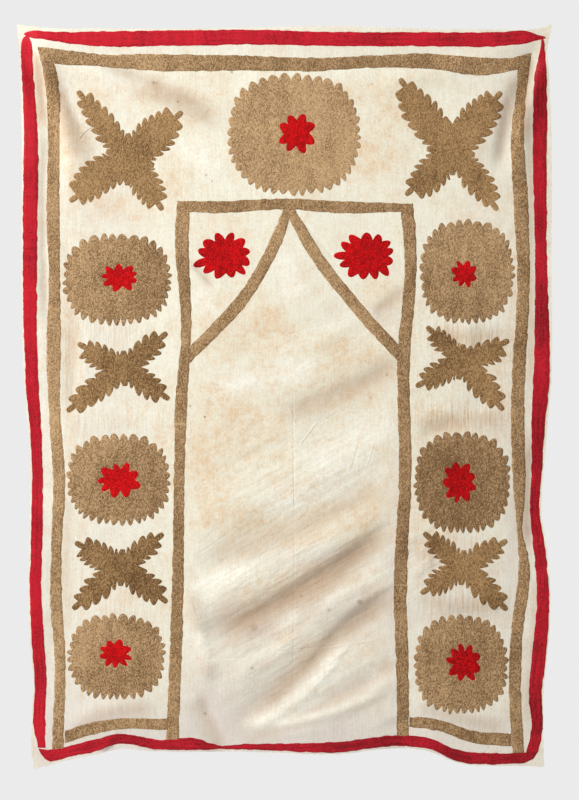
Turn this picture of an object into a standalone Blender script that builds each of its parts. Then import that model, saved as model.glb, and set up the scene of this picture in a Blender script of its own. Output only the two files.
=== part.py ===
"""Suzani embroidered textile: a cotton hanging with chain-stitched motifs and a sewn ribbon border.

Metres, +Z up. The cloth hangs in the XZ plane with its front towards -Y, and the origin is the middle
of its top edge. The drawing is laid out in the photograph's pixels, x to the right and y down, and one
real size, the cloth's width, turns them into metres. The ground is one solid sheet on a grid whose lines
follow the ribbon, the stitched lines and the niche. Every sewn or stitched piece lies on that sheet's own
facets, a hair in front of it, so the two never meet however the cloth folds.
"""
import math
import random

import bmesh
import bpy
import numpy as np
from mathutils import Vector
from mathutils.geometry import delaunay_2d_cdt

# Driving sizes, in metres
CLOTH_WIDTH = 1.25
CLOTH_THICKNESS = 0.0012
RIBBON_THICKNESS = 0.0010
STITCH_THICKNESS = 0.0012
GAP = 0.0003
MILLIMETRE = 0.001
# Points of an outline nearer than this to each other or to a grid line become one
SAME_POINT = 0.0004

# Where the photograph shows the cloth, in its pixels
PHOTO_CLOTH_WIDTH = 529.0
PHOTO_CLOTH_HEIGHT = 740.0
PHOTO_MIDDLE_X = 288.0
PHOTO_TOP_Y = 28.0
PIXEL = CLOTH_WIDTH / PHOTO_CLOTH_WIDTH

# Columns: photo y, cloth edge x, ribbon outer x, ribbon inner x
LEFT_SIDE = (
    (24, 16.5, 22.5, 31.0),
    (45, 18.5, 20.5, 32.0),
    (80, 20.3, 22.0, 33.5),
    (120, 21.5, 23.5, 37.0),
    (240, 21.7, 23.0, 37.3),
    (330, 22.3, 23.7, 36.7),
    (390, 24.3, 26.0, 38.7),
    (450, 29.2, 31.0, 41.7),
    (520, 29.6, 31.0, 42.7),
    (590, 28.5, 30.0, 41.3),
    (640, 29.8, 31.5, 44.0),
    (690, 33.0, 34.5, 46.0),
    (725, 31.2, 33.0, 44.7),
    (750, 31.2, 38.0, 45.5),
    (769, 33.5, 37.5, 47.0),
)
RIGHT_SIDE = (
    (24, 552.5, 546.0, 538.0),
    (48, 547.8, 545.5, 539.5),
    (75, 549.2, 546.8, 534.5),
    (120, 551.3, 547.0, 533.0),
    (270, 551.5, 547.0, 535.0),
    (340, 552.0, 549.3, 534.3),
    (385, 551.0, 549.3, 533.3),
    (420, 548.3, 545.5, 531.5),
    (470, 544.6, 542.6, 532.0),
    (512, 542.0, 540.0, 530.3),
    (545, 546.8, 545.0, 533.3),
    (600, 550.3, 549.0, 537.0),
    (640, 548.8, 547.5, 533.5),
    (695, 543.8, 542.0, 529.3),
    (735, 543.6, 542.0, 531.0),
    (752, 543.8, 538.0, 526.5),
    (767, 544.5, 537.5, 525.0),
)
# Columns: photo x, cloth edge y, ribbon outer y, ribbon inner y
TOP_SIDE = (
    (16, 24.0, 31.0, 36.0),
    (40, 27.3, 31.0, 39.0),
    (60, 28.5, 32.0, 42.3),
    (85, 28.3, 31.5, 45.0),
    (190, 28.6, 30.3, 45.2),
    (250, 27.5, 29.5, 44.5),
    (330, 26.2, 32.0, 46.0),
    (430, 28.5, 32.0, 46.0),
    (500, 29.3, 32.0, 46.2),
    (528, 29.5, 31.0, 43.5),
    (540, 28.0, 34.0, 41.0),
    (552, 23.5, 34.5, 41.0),
)
BOTTOM_SIDE = (
    (33, 769.5, 764.0, 750.0),
    (50, 765.0, 762.0, 749.5),
    (70, 760.0, 757.0, 746.0),
    (98, 753.8, 750.8, 738.3),
    (115, 749.8, 744.8, 734.5),
    (160, 751.5, 750.0, 740.0),
    (195, 752.0, 750.2, 738.5),
    (220, 751.8, 750.0, 746.3),
    (235, 751.8, 749.9, 745.2),
    (250, 752.0, 750.1, 744.3),
    (270, 752.4, 750.8, 744.0),
    (340, 753.8, 752.5, 742.0),
    (395, 748.8, 746.6, 736.0),
    (432, 752.2, 750.4, 739.2),
    (455, 762.0, 760.8, 749.3),
    (490, 765.7, 764.5, 753.5),
    (522, 766.0, 763.5, 753.0),
    (545, 767.0, 763.0, 752.5),
)
# Columns: photo y, outer x, inner x
OUTER_LINE_LEFT = (
    (47, 38.0, 49.5),
    (80, 44.5, 58.0),
    (150, 47.8, 59.3),
    (220, 46.2, 59.8),
    (280, 49.0, 60.0),
    (335, 46.5, 60.8),
    (410, 48.5, 60.0),
    (485, 53.0, 65.3),
    (550, 50.8, 61.5),
    (600, 50.0, 62.0),
    (660, 54.3, 65.3),
    (740, 52.0, 63.5),
)
OUTER_LINE_RIGHT = (
    (52, 532.0, 518.5),
    (90, 527.0, 516.5),
    (130, 524.0, 511.5),
    (200, 528.0, 513.3),
    (280, 529.7, 517.3),
    (350, 526.7, 513.7),
    (400, 524.5, 511.2),
    (500, 525.0, 514.5),
    (530, 522.6, 517.3),
    (560, 529.3, 518.7),
    (640, 522.5, 510.7),
    (690, 521.3, 509.0),
    (752, 524.5, 512.5),
)
# Columns: photo x, upper y, lower y
OUTER_LINE_TOP = (
    (38, 47.0, 63.0),
    (60, 49.5, 64.5),
    (100, 54.0, 66.7),
    (150, 54.0, 70.5),
    (240, 55.5, 70.5),
    (320, 58.0, 71.0),
    (375, 55.4, 67.8),
    (430, 53.5, 69.0),
    (490, 58.0, 75.0),
    (515, 57.0, 70.0),
    (532, 52.5, 67.0),
)
# Columns: photo y, outer x, inner x
NICHE_LEFT = (
    (201, 177.0, 190.0),
    (225, 175.2, 189.0),
    (340, 181.0, 191.0),
    (395, 175.7, 187.7),
    (480, 174.0, 184.5),
    (590, 171.8, 183.3),
    (739, 166.0, 178.8),
)
NICHE_RIGHT = (
    (204, 413.5, 400.0),
    (255, 416.5, 404.4),
    (360, 410.0, 397.5),
    (480, 411.3, 399.0),
    (590, 406.6, 393.5),
    (670, 408.7, 396.3),
    (737, 409.0, 397.0),
)
# Columns: photo x, upper y, lower y
NICHE_TOP = (
    (178, 201.0, 211.5),
    (220, 201.3, 213.0),
    (280, 198.5, 209.5),
    (350, 201.5, 213.4),
    (413, 203.5, 211.0),
)
FOOT_BARS = (
    (64, 731.0, 743.5),
    (95, 722.0, 734.0),
    (110, 719.5, 730.5),
    (165, 719.0, 730.0),
    (411, 717.0, 727.5),
    (440, 720.0, 731.5),
    (470, 730.5, 742.5),
    (510, 734.0, 746.5),
)
# The niche's roof line: photo x and y of its middle, from the left upright over the point to the right one
ROOF = ((180, 364), (210, 335), (242, 300), (270, 254), (289, 208), (316, 255), (353, 303), (410, 366))
ROOF_WIDTH = 12.0

# Columns: name, photo x and y of the middle, reach to the left, right, up and down, teeth, tooth depth
ROSETTES = (
    ("top", 294, 134, 67, 67, 61, 62, 41, 6.0),
    ("left_upper", 117, 279, 55, 55, 47, 47, 36, 6.5),
    ("left_middle", 118, 480, 52, 53, 47, 46, 36, 6.0),
    ("left_lower", 115, 656, 48, 51, 43, 45, 34, 6.0),
    ("right_upper", 467, 272, 48, 48, 53, 53, 36, 6.0),
    ("right_middle", 462, 482, 49, 50, 51, 52, 36, 6.0),
    ("right_lower", 461, 665, 48, 48, 51, 50, 36, 6.0),
)
# Columns: name, photo x and y of the middle, reach to the left, right, up and down, teeth, tooth depth
RED_CENTRES = (
    ("top", 297, 133, 19, 19, 20, 21, 8, 5.5),
    ("left_upper", 120, 277, 19, 19, 14, 15, 9, 5.0),
    ("left_middle", 119, 480, 22, 22, 18, 18, 9, 5.5),
    ("left_lower", 115, 654, 16, 17, 16, 15, 9, 5.0),
    ("right_upper", 464, 274, 13, 14, 14, 14, 8, 4.0),
    ("right_middle", 459, 482, 17, 18, 21, 21, 9, 5.0),
    ("right_lower", 463, 662, 17, 20, 19, 21, 9, 5.5),
)
RED_ROSETTES = (
    ("left", 225, 256, 28, 27, 24, 24, 12, 7.5),
    ("right", 368, 256, 30, 27, 24, 25, 13, 7.5),
)
# Columns: name, photo x and y of the middle; the leaves are in CROSS_ARMS
CROSSES = (
    ("top_left", 130, 159),
    ("top_right", 452, 150),
    ("left_upper", 124, 368),
    ("left_lower", 121, 567),
    ("right_upper", 463, 361),
    ("right_lower", 463, 567),
)
# Columns: cross, photo x and y of the tip, bow to the clockwise side, full width, teeth in, teeth out.
# Each cross lists its leaves clockwise; the teeth "in" are on the side that is met first going round.
CROSS_ARMS = (
    ("top_left", 77, 90, 0, 29, 6, 6),
    ("top_left", 183, 111, -1, 40, 6, 6),
    ("top_left", 163, 211, 0, 33, 5, 5),
    ("top_left", 69, 202, 4, 39, 6, 6),
    ("top_right", 399, 78, -3, 38, 6, 6),
    ("top_right", 502, 91, 0, 39, 6, 6),
    ("top_right", 498, 211, -2, 30, 6, 5),
    ("top_right", 405, 196, -3, 36, 5, 5),
    ("left_upper", 77, 343, -2, 28, 4, 5),
    ("left_upper", 168, 332, 0, 26, 4, 4),
    ("left_upper", 170, 400, 0, 27, 4, 4),
    ("left_upper", 66, 412, 0, 28, 5, 4),
    ("left_lower", 74, 542, -1, 30, 5, 5),
    ("left_lower", 164, 533, 0, 25, 4, 4),
    ("left_lower", 168, 603, 0, 29, 4, 5),
    ("left_lower", 72, 610, 0, 27, 4, 4),
    ("right_upper", 426, 326, 0, 23, 4, 5),
    ("right_upper", 510, 340, 3, 28, 4, 4),
    ("right_upper", 504, 411, 0, 29, 4, 5),
    ("right_upper", 415, 387, 0, 27, 5, 4),
    ("right_lower", 423, 532, 0, 25, 4, 5),
    ("right_lower", 508, 540, 0, 26, 4, 4),
    ("right_lower", 508, 611, 0, 27, 4, 4),
    ("right_lower", 420, 594, 0, 27, 5, 4),
)
LEAF_TOOTH_DEPTH = 6.0
LEAF_TIP_WIDTH = 7.0
FORK_TOOTH_WIDTH = 8.0
# A fork between leaves that is wider than this has a tooth in it
WIDE_FORK = math.radians(80)
# 2 draws a rosette as an ellipse, and more makes it squarer
SQUARENESS = 2.6

# Columns: name, start x and y, middle x and y, end x and y, half width, lift towards the viewer in mm
FOLDS = (
    ("left corner drop", 18, 30, 38, 95, 66, 190, 9, -6.0),
    ("left corner ridge", 22, 26, 62, 95, 84, 210, 11, 5.0),
    ("left corner drag", 20, 30, 130, 78, 240, 122, 12, 5.5),
    ("left corner hollow", 40, 60, 120, 112, 215, 160, 14, -4.0),
    ("right corner drop", 546, 40, 516, 105, 496, 185, 9, -6.0),
    ("right corner ridge", 548, 50, 530, 110, 514, 190, 8, 5.0),
    ("right corner drag", 550, 28, 470, 62, 360, 88, 11, 3.5),
    ("panel trough a", 270, 412, 345, 388, 405, 358, 13, -3.5),
    ("panel trough b", 185, 562, 298, 520, 405, 462, 17, -5.0),
    ("panel ridge b", 190, 520, 300, 482, 402, 430, 18, 4.0),
    ("panel trough c", 190, 638, 290, 596, 405, 520, 15, -8.0),
    ("panel ridge c", 190, 600, 292, 560, 402, 496, 15, 5.0),
    ("panel trough d", 215, 748, 315, 655, 402, 585, 13, -7.0),
    ("panel ridge d", 205, 700, 300, 630, 400, 556, 14, 5.0),
    ("panel trough e", 222, 750, 334, 699, 405, 655, 10, -5.5),
    ("panel ridge e", 240, 738, 325, 715, 402, 674, 9, 5.0),
    ("panel left ridge", 188, 575, 199, 637, 214, 690, 9, 4.0),
    ("foot swag", 196, 690, 214, 735, 226, 770, 12, -7.0),
    ("panel upper trough", 225, 352, 300, 332, 372, 312, 14, -2.0),
    ("left side swell", 20, 130, 24, 230, 24, 340, 22, 6.0),
    ("left side hollow", 28, 380, 33, 450, 32, 520, 20, -6.0),
    ("left side bulge", 28, 540, 30, 600, 32, 650, 20, 5.0),
    ("left foot hollow", 32, 660, 36, 700, 32, 745, 17, -4.0),
    ("right side swell", 552, 230, 553, 330, 549, 395, 22, 7.0),
    ("right side hollow", 546, 430, 538, 505, 545, 545, 20, -9.0),
    ("right side bulge", 549, 560, 553, 605, 546, 655, 20, 7.0),
    ("right foot hollow", 543, 670, 539, 710, 543, 745, 17, -5.0),
    ("left column streak", 44, 130, 44, 240, 48, 340, 5, -2.0),
    ("left column fold", 70, 320, 73, 365, 66, 425, 8, -2.5),
    ("right column gather", 470, 318, 468, 335, 474, 350, 8, 3.0),
    ("right column trough", 500, 395, 455, 420, 415, 440, 12, -4.0),
    ("right column crease", 400, 560, 425, 545, 440, 530, 9, -3.0),
    ("right column lower", 425, 610, 470, 603, 515, 600, 10, 3.5),
    ("left foot fold", 60, 742, 100, 712, 165, 705, 11, 3.0),
    ("right foot fold", 410, 702, 450, 712, 510, 724, 11, 3.0),
    ("foot wave left", 110, 740, 118, 752, 120, 770, 14, -5.0),
    ("foot wave right", 395, 715, 402, 740, 404, 770, 18, -5.0),
    ("foot wave middle", 300, 728, 302, 745, 304, 770, 26, 4.0),
)
FOLD_STEPS = 10
FOLD_FADE = 0.22
# The whole cloth's belly and how far its foot leans back, in mm
BELLY = 6.0
FOOT_LEAN = -3.6
# The ground's small unevenness: columns: radians across the half width, radians down, start, lift in mm
UNEVEN_WAVES = (
    (7.1, 5.3, 0.7, 0.9),
    (-4.1, 9.7, 1.9, 0.9),
    (15.3, -3.7, 2.2, 0.6),
    (2.3, 17.9, 0.4, 0.6),
)

# Cells between the named grid lines
SIDE_CELLS = 3
PANEL_CELLS = 12
UPPER_CELLS = 6
LOWER_CELLS = 23

# Names and places of the grid lines, counted from the left and from the top
EDGE_LEFT, RIBBON_OUT_LEFT, RIBBON_IN_LEFT, LINE_OUT_LEFT, LINE_IN_LEFT = range(5)
NICHE_OUT_LEFT = LINE_IN_LEFT + SIDE_CELLS
NICHE_IN_LEFT = NICHE_OUT_LEFT + 1
RIBBON_JOIN = NICHE_IN_LEFT + 1
NICHE_IN_RIGHT = NICHE_IN_LEFT + PANEL_CELLS
NICHE_OUT_RIGHT = NICHE_IN_RIGHT + 1
LINE_IN_RIGHT = NICHE_OUT_RIGHT + SIDE_CELLS
LINE_OUT_RIGHT, RIBBON_IN_RIGHT, RIBBON_OUT_RIGHT, EDGE_RIGHT = (LINE_IN_RIGHT + k for k in range(1, 5))
EDGE_TOP, RIBBON_OUT_TOP, RIBBON_IN_TOP, LINE_UPPER, LINE_LOWER = range(5)
NICHE_UPPER = LINE_LOWER + UPPER_CELLS
NICHE_LOWER = NICHE_UPPER + 1
BAR_UPPER = NICHE_LOWER + LOWER_CELLS
BAR_LOWER, RIBBON_IN_FOOT, RIBBON_OUT_FOOT, EDGE_FOOT = (BAR_UPPER + k for k in range(1, 5))

# Material: sRGB colour, roughness
COTTON = ((0.93, 0.89, 0.81), 0.85)
RIBBON_RED = ((0.76, 0.10, 0.17), 0.45)
KHAKI = ((0.61, 0.51, 0.38), 0.80)
BROWN_KHAKI = ((0.54, 0.42, 0.27), 0.80)
STITCH_RED = ((0.77, 0.08, 0.10), 0.75)


def smooth_rows(rows, at):
    """Reads a table at one place of its first column, with a smooth curve through its rows."""
    table = np.array(rows, dtype=float)
    keys = table[:, 0]
    at = min(max(at, keys[0]), keys[-1])
    slopes = np.gradient(table[:, 1:], keys, axis=0)
    row = min(max(int(np.searchsorted(keys, at)) - 1, 0), len(keys) - 2)
    span = keys[row + 1] - keys[row]
    t = (at - keys[row]) / span
    low, high = table[row, 1:], table[row + 1, 1:]
    return (
        low * (1 + 2 * t) * (1 - t) ** 2
        + high * t * t * (3 - 2 * t)
        + slopes[row] * span * t * (1 - t) ** 2
        - slopes[row + 1] * span * t * t * (1 - t)
    )


def evenly(first, last, cells):
    """The values of the lines inside a run of equal cells."""
    return [first + (last - first) * k / cells for k in range(1, cells)]


def column_lines(y):
    """Photo x of every upright grid line at photo height y."""
    left = smooth_rows(LEFT_SIDE, y)
    right = smooth_rows(RIGHT_SIDE, y)
    line_left = smooth_rows(OUTER_LINE_LEFT, y)
    line_right = smooth_rows(OUTER_LINE_RIGHT, y)
    niche_left = smooth_rows(NICHE_LEFT, y)
    niche_right = smooth_rows(NICHE_RIGHT, y)
    lines = [*left, *line_left, *evenly(line_left[1], niche_left[0], SIDE_CELLS), *niche_left]
    lines += evenly(niche_left[1], niche_right[1], PANEL_CELLS)
    lines += [niche_right[1], niche_right[0], *evenly(niche_right[0], line_right[1], SIDE_CELLS)]
    return lines + [line_right[1], line_right[0], right[2], right[1], right[0]]


def row_lines(x):
    """Photo y of every level grid line at photo place x."""
    top = smooth_rows(TOP_SIDE, x)
    foot = smooth_rows(BOTTOM_SIDE, x)
    line = smooth_rows(OUTER_LINE_TOP, x)
    niche = smooth_rows(NICHE_TOP, x)
    bars = smooth_rows(FOOT_BARS, x)
    lines = [*top, *line, *evenly(line[1], niche[0], UPPER_CELLS), *niche]
    lines += evenly(niche[1], bars[0], LOWER_CELLS)
    return lines + [*bars, foot[2], foot[1], foot[0]]


def lay_grid():
    """Photo places where the upright and level grid lines cross, found by turns."""
    middle_x, middle_y = PHOTO_MIDDLE_X, PHOTO_TOP_Y + 360
    columns = np.tile(column_lines(middle_y), (len(row_lines(middle_x)), 1))
    for _ in range(4):
        rows = np.array([[row_lines(x)[r] for x in line] for r, line in enumerate(columns)])
        columns = np.array([[column_lines(y)[c] for c, y in enumerate(line)] for line in rows])
    return np.stack([columns, rows], axis=-1)


def fold_path(start, middle, end):
    """Points along a bent fold line through its three places."""
    t = np.linspace(0, 1, FOLD_STEPS + 1)[:, None]
    bend = 2 * middle - (start + end) / 2
    return (1 - t) ** 2 * start + 2 * t * (1 - t) * bend + t * t * end


def fold_strength(points, path, half_width):
    """How much of one fold's lift reaches each point: full on its line, fading aside and at its ends."""
    nearest = np.full(len(points), np.inf)
    place = np.zeros(len(points))
    for k in range(len(path) - 1):
        step = path[k + 1] - path[k]
        t = np.clip((points - path[k]) @ step / (step @ step), 0, 1)
        away = np.linalg.norm(points - path[k] - t[:, None] * step, axis=1)
        closer = away < nearest
        nearest = np.where(closer, away, nearest)
        place = np.where(closer, (k + t) / (len(path) - 1), place)
    fade = np.clip(np.minimum(place, 1 - place) / FOLD_FADE, 0, 1)
    return np.exp(-((nearest / half_width) ** 2)) * fade * fade * (3 - 2 * fade)


def lift_of(points):
    """Metres by which the cloth stands towards the viewer at photo points."""
    x = (points[:, 0] - PHOTO_MIDDLE_X) * 2 / PHOTO_CLOTH_WIDTH
    y = (points[:, 1] - PHOTO_TOP_Y) / PHOTO_CLOTH_HEIGHT
    lift = BELLY * np.sin(math.pi * y) * (1 - x * x) + FOOT_LEAN * y
    for across, down, start, height in UNEVEN_WAVES:
        lift += height * np.sin(across * x + down * y + start)
    for _, x1, y1, x2, y2, x3, y3, half_width, height in FOLDS:
        path = fold_path(np.array((x1, y1)), np.array((x2, y2)), np.array((x3, y3)))
        lift += height * fold_strength(points, path, half_width)
    return lift * MILLIMETRE


def to_metres(points):
    """Photo points as x and z in metres from the middle of the top edge."""
    points = np.asarray(points, dtype=float)
    return np.stack([(points[:, 0] - PHOTO_MIDDLE_X) * PIXEL, (PHOTO_TOP_Y - points[:, 1]) * PIXEL], axis=1)


class Ground:
    """The faceted sheet that everything else lies on."""

    def __init__(self):
        self.photo = lay_grid()
        self.rows, self.columns = self.photo.shape[:2]
        flat = self.photo.reshape(-1, 2)
        self.places = to_metres(flat)
        lift = lift_of(flat)
        self.lift = lift - lift_of(np.array([[PHOTO_MIDDLE_X, PHOTO_TOP_Y]]))[0]
        self.triangles = self.split_cells()
        self.edges = sorted({tuple(sorted(pair)) for t in self.triangles for pair in zip(t, t[1:] + t[:1])})

    def index(self, column, row):
        return row * self.columns + column

    def split_cells(self):
        """Two triangles a cell, cut from its lower left to its upper right as the main folds run."""
        triangles = []
        for row in range(self.rows - 1):
            for column in range(self.columns - 1):
                upper_left = self.index(column, row)
                upper_right = self.index(column + 1, row)
                lower_left = self.index(column, row + 1)
                lower_right = self.index(column + 1, row + 1)
                triangles.append((lower_left, upper_right, upper_left))
                triangles.append((lower_left, lower_right, upper_right))
        return triangles

    def line(self, columns, rows):
        """Places of the crossings along a run of grid lines."""
        return [self.places[self.index(column, row)] for row in rows for column in columns]

    def lift_on_facets(self, places):
        """Lift of the sheet's own facets under each place."""
        corners = self.places[np.array(self.triangles)]
        a, b, c = corners[:, 0], corners[:, 1], corners[:, 2]
        lifts = self.lift[np.array(self.triangles)]
        area = (b[:, 0] - a[:, 0]) * (c[:, 1] - a[:, 1]) - (b[:, 1] - a[:, 1]) * (c[:, 0] - a[:, 0])
        result = []
        for x, z in places:
            share_b = ((x - a[:, 0]) * (c[:, 1] - a[:, 1]) - (z - a[:, 1]) * (c[:, 0] - a[:, 0])) / area
            share_c = ((b[:, 0] - a[:, 0]) * (z - a[:, 1]) - (b[:, 1] - a[:, 1]) * (x - a[:, 0])) / area
            inside = np.minimum(np.minimum(share_b, share_c), 1 - share_b - share_c)
            best = int(np.argmax(inside))
            sb, sc = share_b[best], share_c[best]
            result.append(lifts[best] @ np.array((1 - sb - sc, sb, sc)))
        return np.array(result)


def make_material(name, colour, roughness):
    """A plain Principled material from an sRGB colour."""
    material = bpy.data.materials.new(name)
    material.use_nodes = True
    shader = material.node_tree.nodes["Principled BSDF"]
    linear = [((c + 0.055) / 1.055) ** 2.4 for c in colour]
    shader.inputs["Base Color"].default_value = (*linear, 1.0)
    shader.inputs["Roughness"].default_value = roughness
    shader.inputs["Metallic"].default_value = 0.0
    material.diffuse_color = (*linear, 1.0)
    return material


def rim_edges(triangles):
    """Directed edges that only one triangle uses: the outline, in order with its faces."""
    directed = {(a, b) for t in triangles for a, b in zip(t, t[1:] + t[:1])}
    return [(a, b) for a, b in directed if (b, a) not in directed]


def add_sheet(name, places, lift, triangles, back, front, finish, hanging):
    """A closed solid between two copies of a faceted surface, set back and front of the ground's middle."""
    centre = (places.min(axis=0) + places.max(axis=0)) / 2
    count = len(places)
    mesh = bmesh.new()
    for offset in (front, back):
        for (x, z), height in zip(places - centre, lift):
            mesh.verts.new((x, -(height + offset), z))
    mesh.verts.ensure_lookup_table()
    for a, b, c in triangles:
        mesh.faces.new([mesh.verts[k] for k in (a, b, c)])
        mesh.faces.new([mesh.verts[k + count] for k in (c, b, a)])
    for a, b in rim_edges(triangles):
        mesh.faces.new([mesh.verts[k] for k in (b, a, a + count, b + count)])
    bmesh.ops.triangulate(mesh, faces=[face for face in mesh.faces if len(face.verts) > 3])
    data = bpy.data.meshes.new(name)
    mesh.to_mesh(data)
    mesh.free()
    data.shade_smooth()
    data.set_sharp_from_angle(angle=math.radians(50))
    data.materials.append(make_material(name, *finish))
    piece = bpy.data.objects.new(name, data)
    piece.location = (centre[0], 0.0, centre[1])
    piece.parent = hanging
    bpy.context.collection.objects.link(piece)
    return piece


def inside_loops(points, loops):
    """Which points lie inside the outer loop and outside the holes, by counting crossings."""
    inside = np.zeros(len(points), dtype=bool)
    for loop in loops:
        loop = np.asarray(loop)
        for (x1, z1), (x2, z2) in zip(loop, np.roll(loop, -1, axis=0)):
            if z1 == z2:
                continue
            spans = (points[:, 1] > min(z1, z2)) & (points[:, 1] <= max(z1, z2))
            crossing = x1 + (points[:, 1] - z1) * (x2 - x1) / (z2 - z1)
            inside ^= spans & (points[:, 0] < crossing)
    return inside


def add_applied(name, ground, loops, thickness, finish, hanging, within=None):
    """A thin piece that lies on the ground's facets, a gap in front of them.

    The first loop is its outline and the others are holes. It is cut off where it leaves "within".
    """
    places = [Vector(place) for place in ground.places]
    edges = list(ground.edges)
    limits = [] if within is None else [within]
    for loop in [*loops, *limits]:
        first = len(places)
        places += [Vector(place) for place in loop]
        edges += [(first + k, first + (k + 1) % len(loop)) for k in range(len(loop))]
    found, _, faces, *_ = delaunay_2d_cdt(places, edges, [], 0, SAME_POINT, False)
    found = np.array([tuple(place) for place in found])
    middles = np.array([found[face].mean(axis=0) for face in faces])
    inside = inside_loops(middles, loops)
    for limit in limits:
        inside &= inside_loops(middles, [limit])
    kept = [tuple(faces[k]) for k in np.flatnonzero(inside)]
    used = sorted({corner for face in kept for corner in face})
    number = {corner: k for k, corner in enumerate(used)}
    places = found[used]
    triangles = []
    for face in kept:
        a, b, c = (number[corner] for corner in face)
        turn = np.cross(places[b] - places[a], places[c] - places[a])
        triangles.append((a, b, c) if turn > 0 else (a, c, b))
    back = CLOTH_THICKNESS / 2 + GAP
    lift = ground.lift_on_facets(places)
    return add_sheet(name, places, lift, triangles, back, back + thickness, finish, hanging)


def trim_end(loop_side, first=True):
    """Draws one end of a line of places back by the gap, so that two pieces that abut stay apart."""
    side = [np.array(place) for place in loop_side]
    end, nearer = (0, 1) if first else (-1, -2)
    step = side[nearer] - side[end]
    side[end] = side[end] + step * GAP / np.linalg.norm(step)
    return side


def strip_loop(side_a, side_b):
    """The outline between two lines of places that run the same way, with both ends drawn back."""
    side_a = trim_end(trim_end(side_a), first=False)
    side_b = trim_end(trim_end(side_b), first=False)
    return side_a + side_b[::-1]


def add_ribbon(ground, hanging):
    """Five lengths of ribbon: two along the top, one down each side and one along the foot."""
    top_rows = (RIBBON_OUT_TOP, RIBBON_IN_TOP)
    left_run = range(RIBBON_OUT_LEFT, RIBBON_JOIN + 1)
    right_run = range(RIBBON_JOIN, RIBBON_OUT_RIGHT + 1)
    down = range(RIBBON_IN_TOP, RIBBON_IN_FOOT + 1)
    loops = {
        "ribbon_top_left": strip_loop(*(ground.line(left_run, (row,)) for row in top_rows)),
        "ribbon_top_right": strip_loop(*(ground.line(right_run, (row,)) for row in top_rows)),
        "ribbon_left": strip_loop(*(ground.line((c,), down) for c in (RIBBON_OUT_LEFT, RIBBON_IN_LEFT))),
        "ribbon_right": strip_loop(*(ground.line((c,), down) for c in (RIBBON_IN_RIGHT, RIBBON_OUT_RIGHT))),
        "ribbon_foot": foot_ribbon_loop(ground),
    }
    for name, loop in loops.items():
        add_applied(name, ground, [loop], RIBBON_THICKNESS, RIBBON_RED, hanging)


def rounded_corner(start, corner, end, steps=4):
    """Places on a bent line from start to end that leans towards a corner."""
    bend = corner * 0.72 + (start + end) * 0.14
    return [
        start * (1 - t) ** 2 + bend * 2 * t * (1 - t) + end * t * t
        for t in (k / steps for k in range(1, steps))
    ]


def foot_ribbon_loop(ground):
    """The foot ribbon's outline, which turns up at both ends round a soft corner."""
    run = range(RIBBON_OUT_LEFT, RIBBON_OUT_RIGHT + 1)
    upper = ground.line(run, (RIBBON_IN_FOOT,))
    lower = ground.line(run, (RIBBON_OUT_FOOT,))
    left = rounded_corner(lower[1], lower[0], upper[0])
    right = rounded_corner(upper[-1], lower[-1], lower[-2])
    return upper + right + lower[1:-1][::-1] + left


def add_outer_line(ground, hanging):
    """The stitched line down the left side, along the top and down the right side, in one piece."""
    down = range(LINE_LOWER, RIBBON_IN_FOOT + 1)
    outer = trim_end(ground.line((LINE_OUT_LEFT,), range(LINE_UPPER, RIBBON_IN_FOOT + 1)), first=False)[::-1]
    outer += ground.line(range(LINE_OUT_LEFT + 1, LINE_OUT_RIGHT), (LINE_UPPER,))
    outer += trim_end(ground.line((LINE_OUT_RIGHT,), range(LINE_UPPER, RIBBON_IN_FOOT + 1)), first=False)
    inner = trim_end(ground.line((LINE_IN_RIGHT,), down), first=False)[::-1]
    inner += ground.line(range(LINE_IN_LEFT + 1, LINE_IN_RIGHT), (LINE_LOWER,))[::-1]
    inner += trim_end(ground.line((LINE_IN_LEFT,), down), first=False)
    add_applied("outer_line", ground, [outer + inner], STITCH_THICKNESS, KHAKI, hanging)


def add_foot_bars(ground, hanging):
    """The short bars that close the side columns at the foot."""
    runs = {
        "foot_bar_left": range(LINE_IN_LEFT, NICHE_OUT_LEFT + 1),
        "foot_bar_right": range(NICHE_OUT_RIGHT, LINE_IN_RIGHT + 1),
    }
    for name, run in runs.items():
        loop = strip_loop(*(ground.line(run, (row,)) for row in (BAR_UPPER, BAR_LOWER)))
        add_applied(name, ground, [loop], STITCH_THICKNESS, KHAKI, hanging)


def add_niche_frame(ground, hanging):
    """The niche's two uprights and its top bar, in one piece."""
    down = range(NICHE_UPPER, RIBBON_IN_FOOT + 1)
    inner_down = range(NICHE_LOWER, RIBBON_IN_FOOT + 1)
    outer = trim_end(ground.line((NICHE_OUT_LEFT,), down), first=False)[::-1]
    outer += ground.line(range(NICHE_IN_LEFT, NICHE_OUT_RIGHT), (NICHE_UPPER,))
    outer += trim_end(ground.line((NICHE_OUT_RIGHT,), down), first=False)
    inner = trim_end(ground.line((NICHE_IN_RIGHT,), inner_down), first=False)[::-1]
    inner += ground.line(range(NICHE_IN_LEFT + 1, NICHE_IN_RIGHT), (NICHE_LOWER,))[::-1]
    inner += trim_end(ground.line((NICHE_IN_LEFT,), inner_down), first=False)
    add_applied("niche_frame", ground, [outer + inner], STITCH_THICKNESS, KHAKI, hanging)


def thick_line(points, width):
    """The closed outline of a bent line of even width, with mitred corners."""
    points = np.array(points, dtype=float)
    along = np.diff(points, axis=0)
    along /= np.linalg.norm(along, axis=1)[:, None]
    normals = np.stack([along[:, 1], -along[:, 0]], axis=1)
    before = np.vstack([normals[:1], normals])
    after = np.vstack([normals, normals[-1:]])
    aside = before + after
    aside /= np.linalg.norm(aside, axis=1)[:, None]
    reach = width / 2 / np.sum(aside * before, axis=1)
    return [*(points + aside * reach[:, None]), *(points - aside * reach[:, None])[::-1]]


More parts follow.
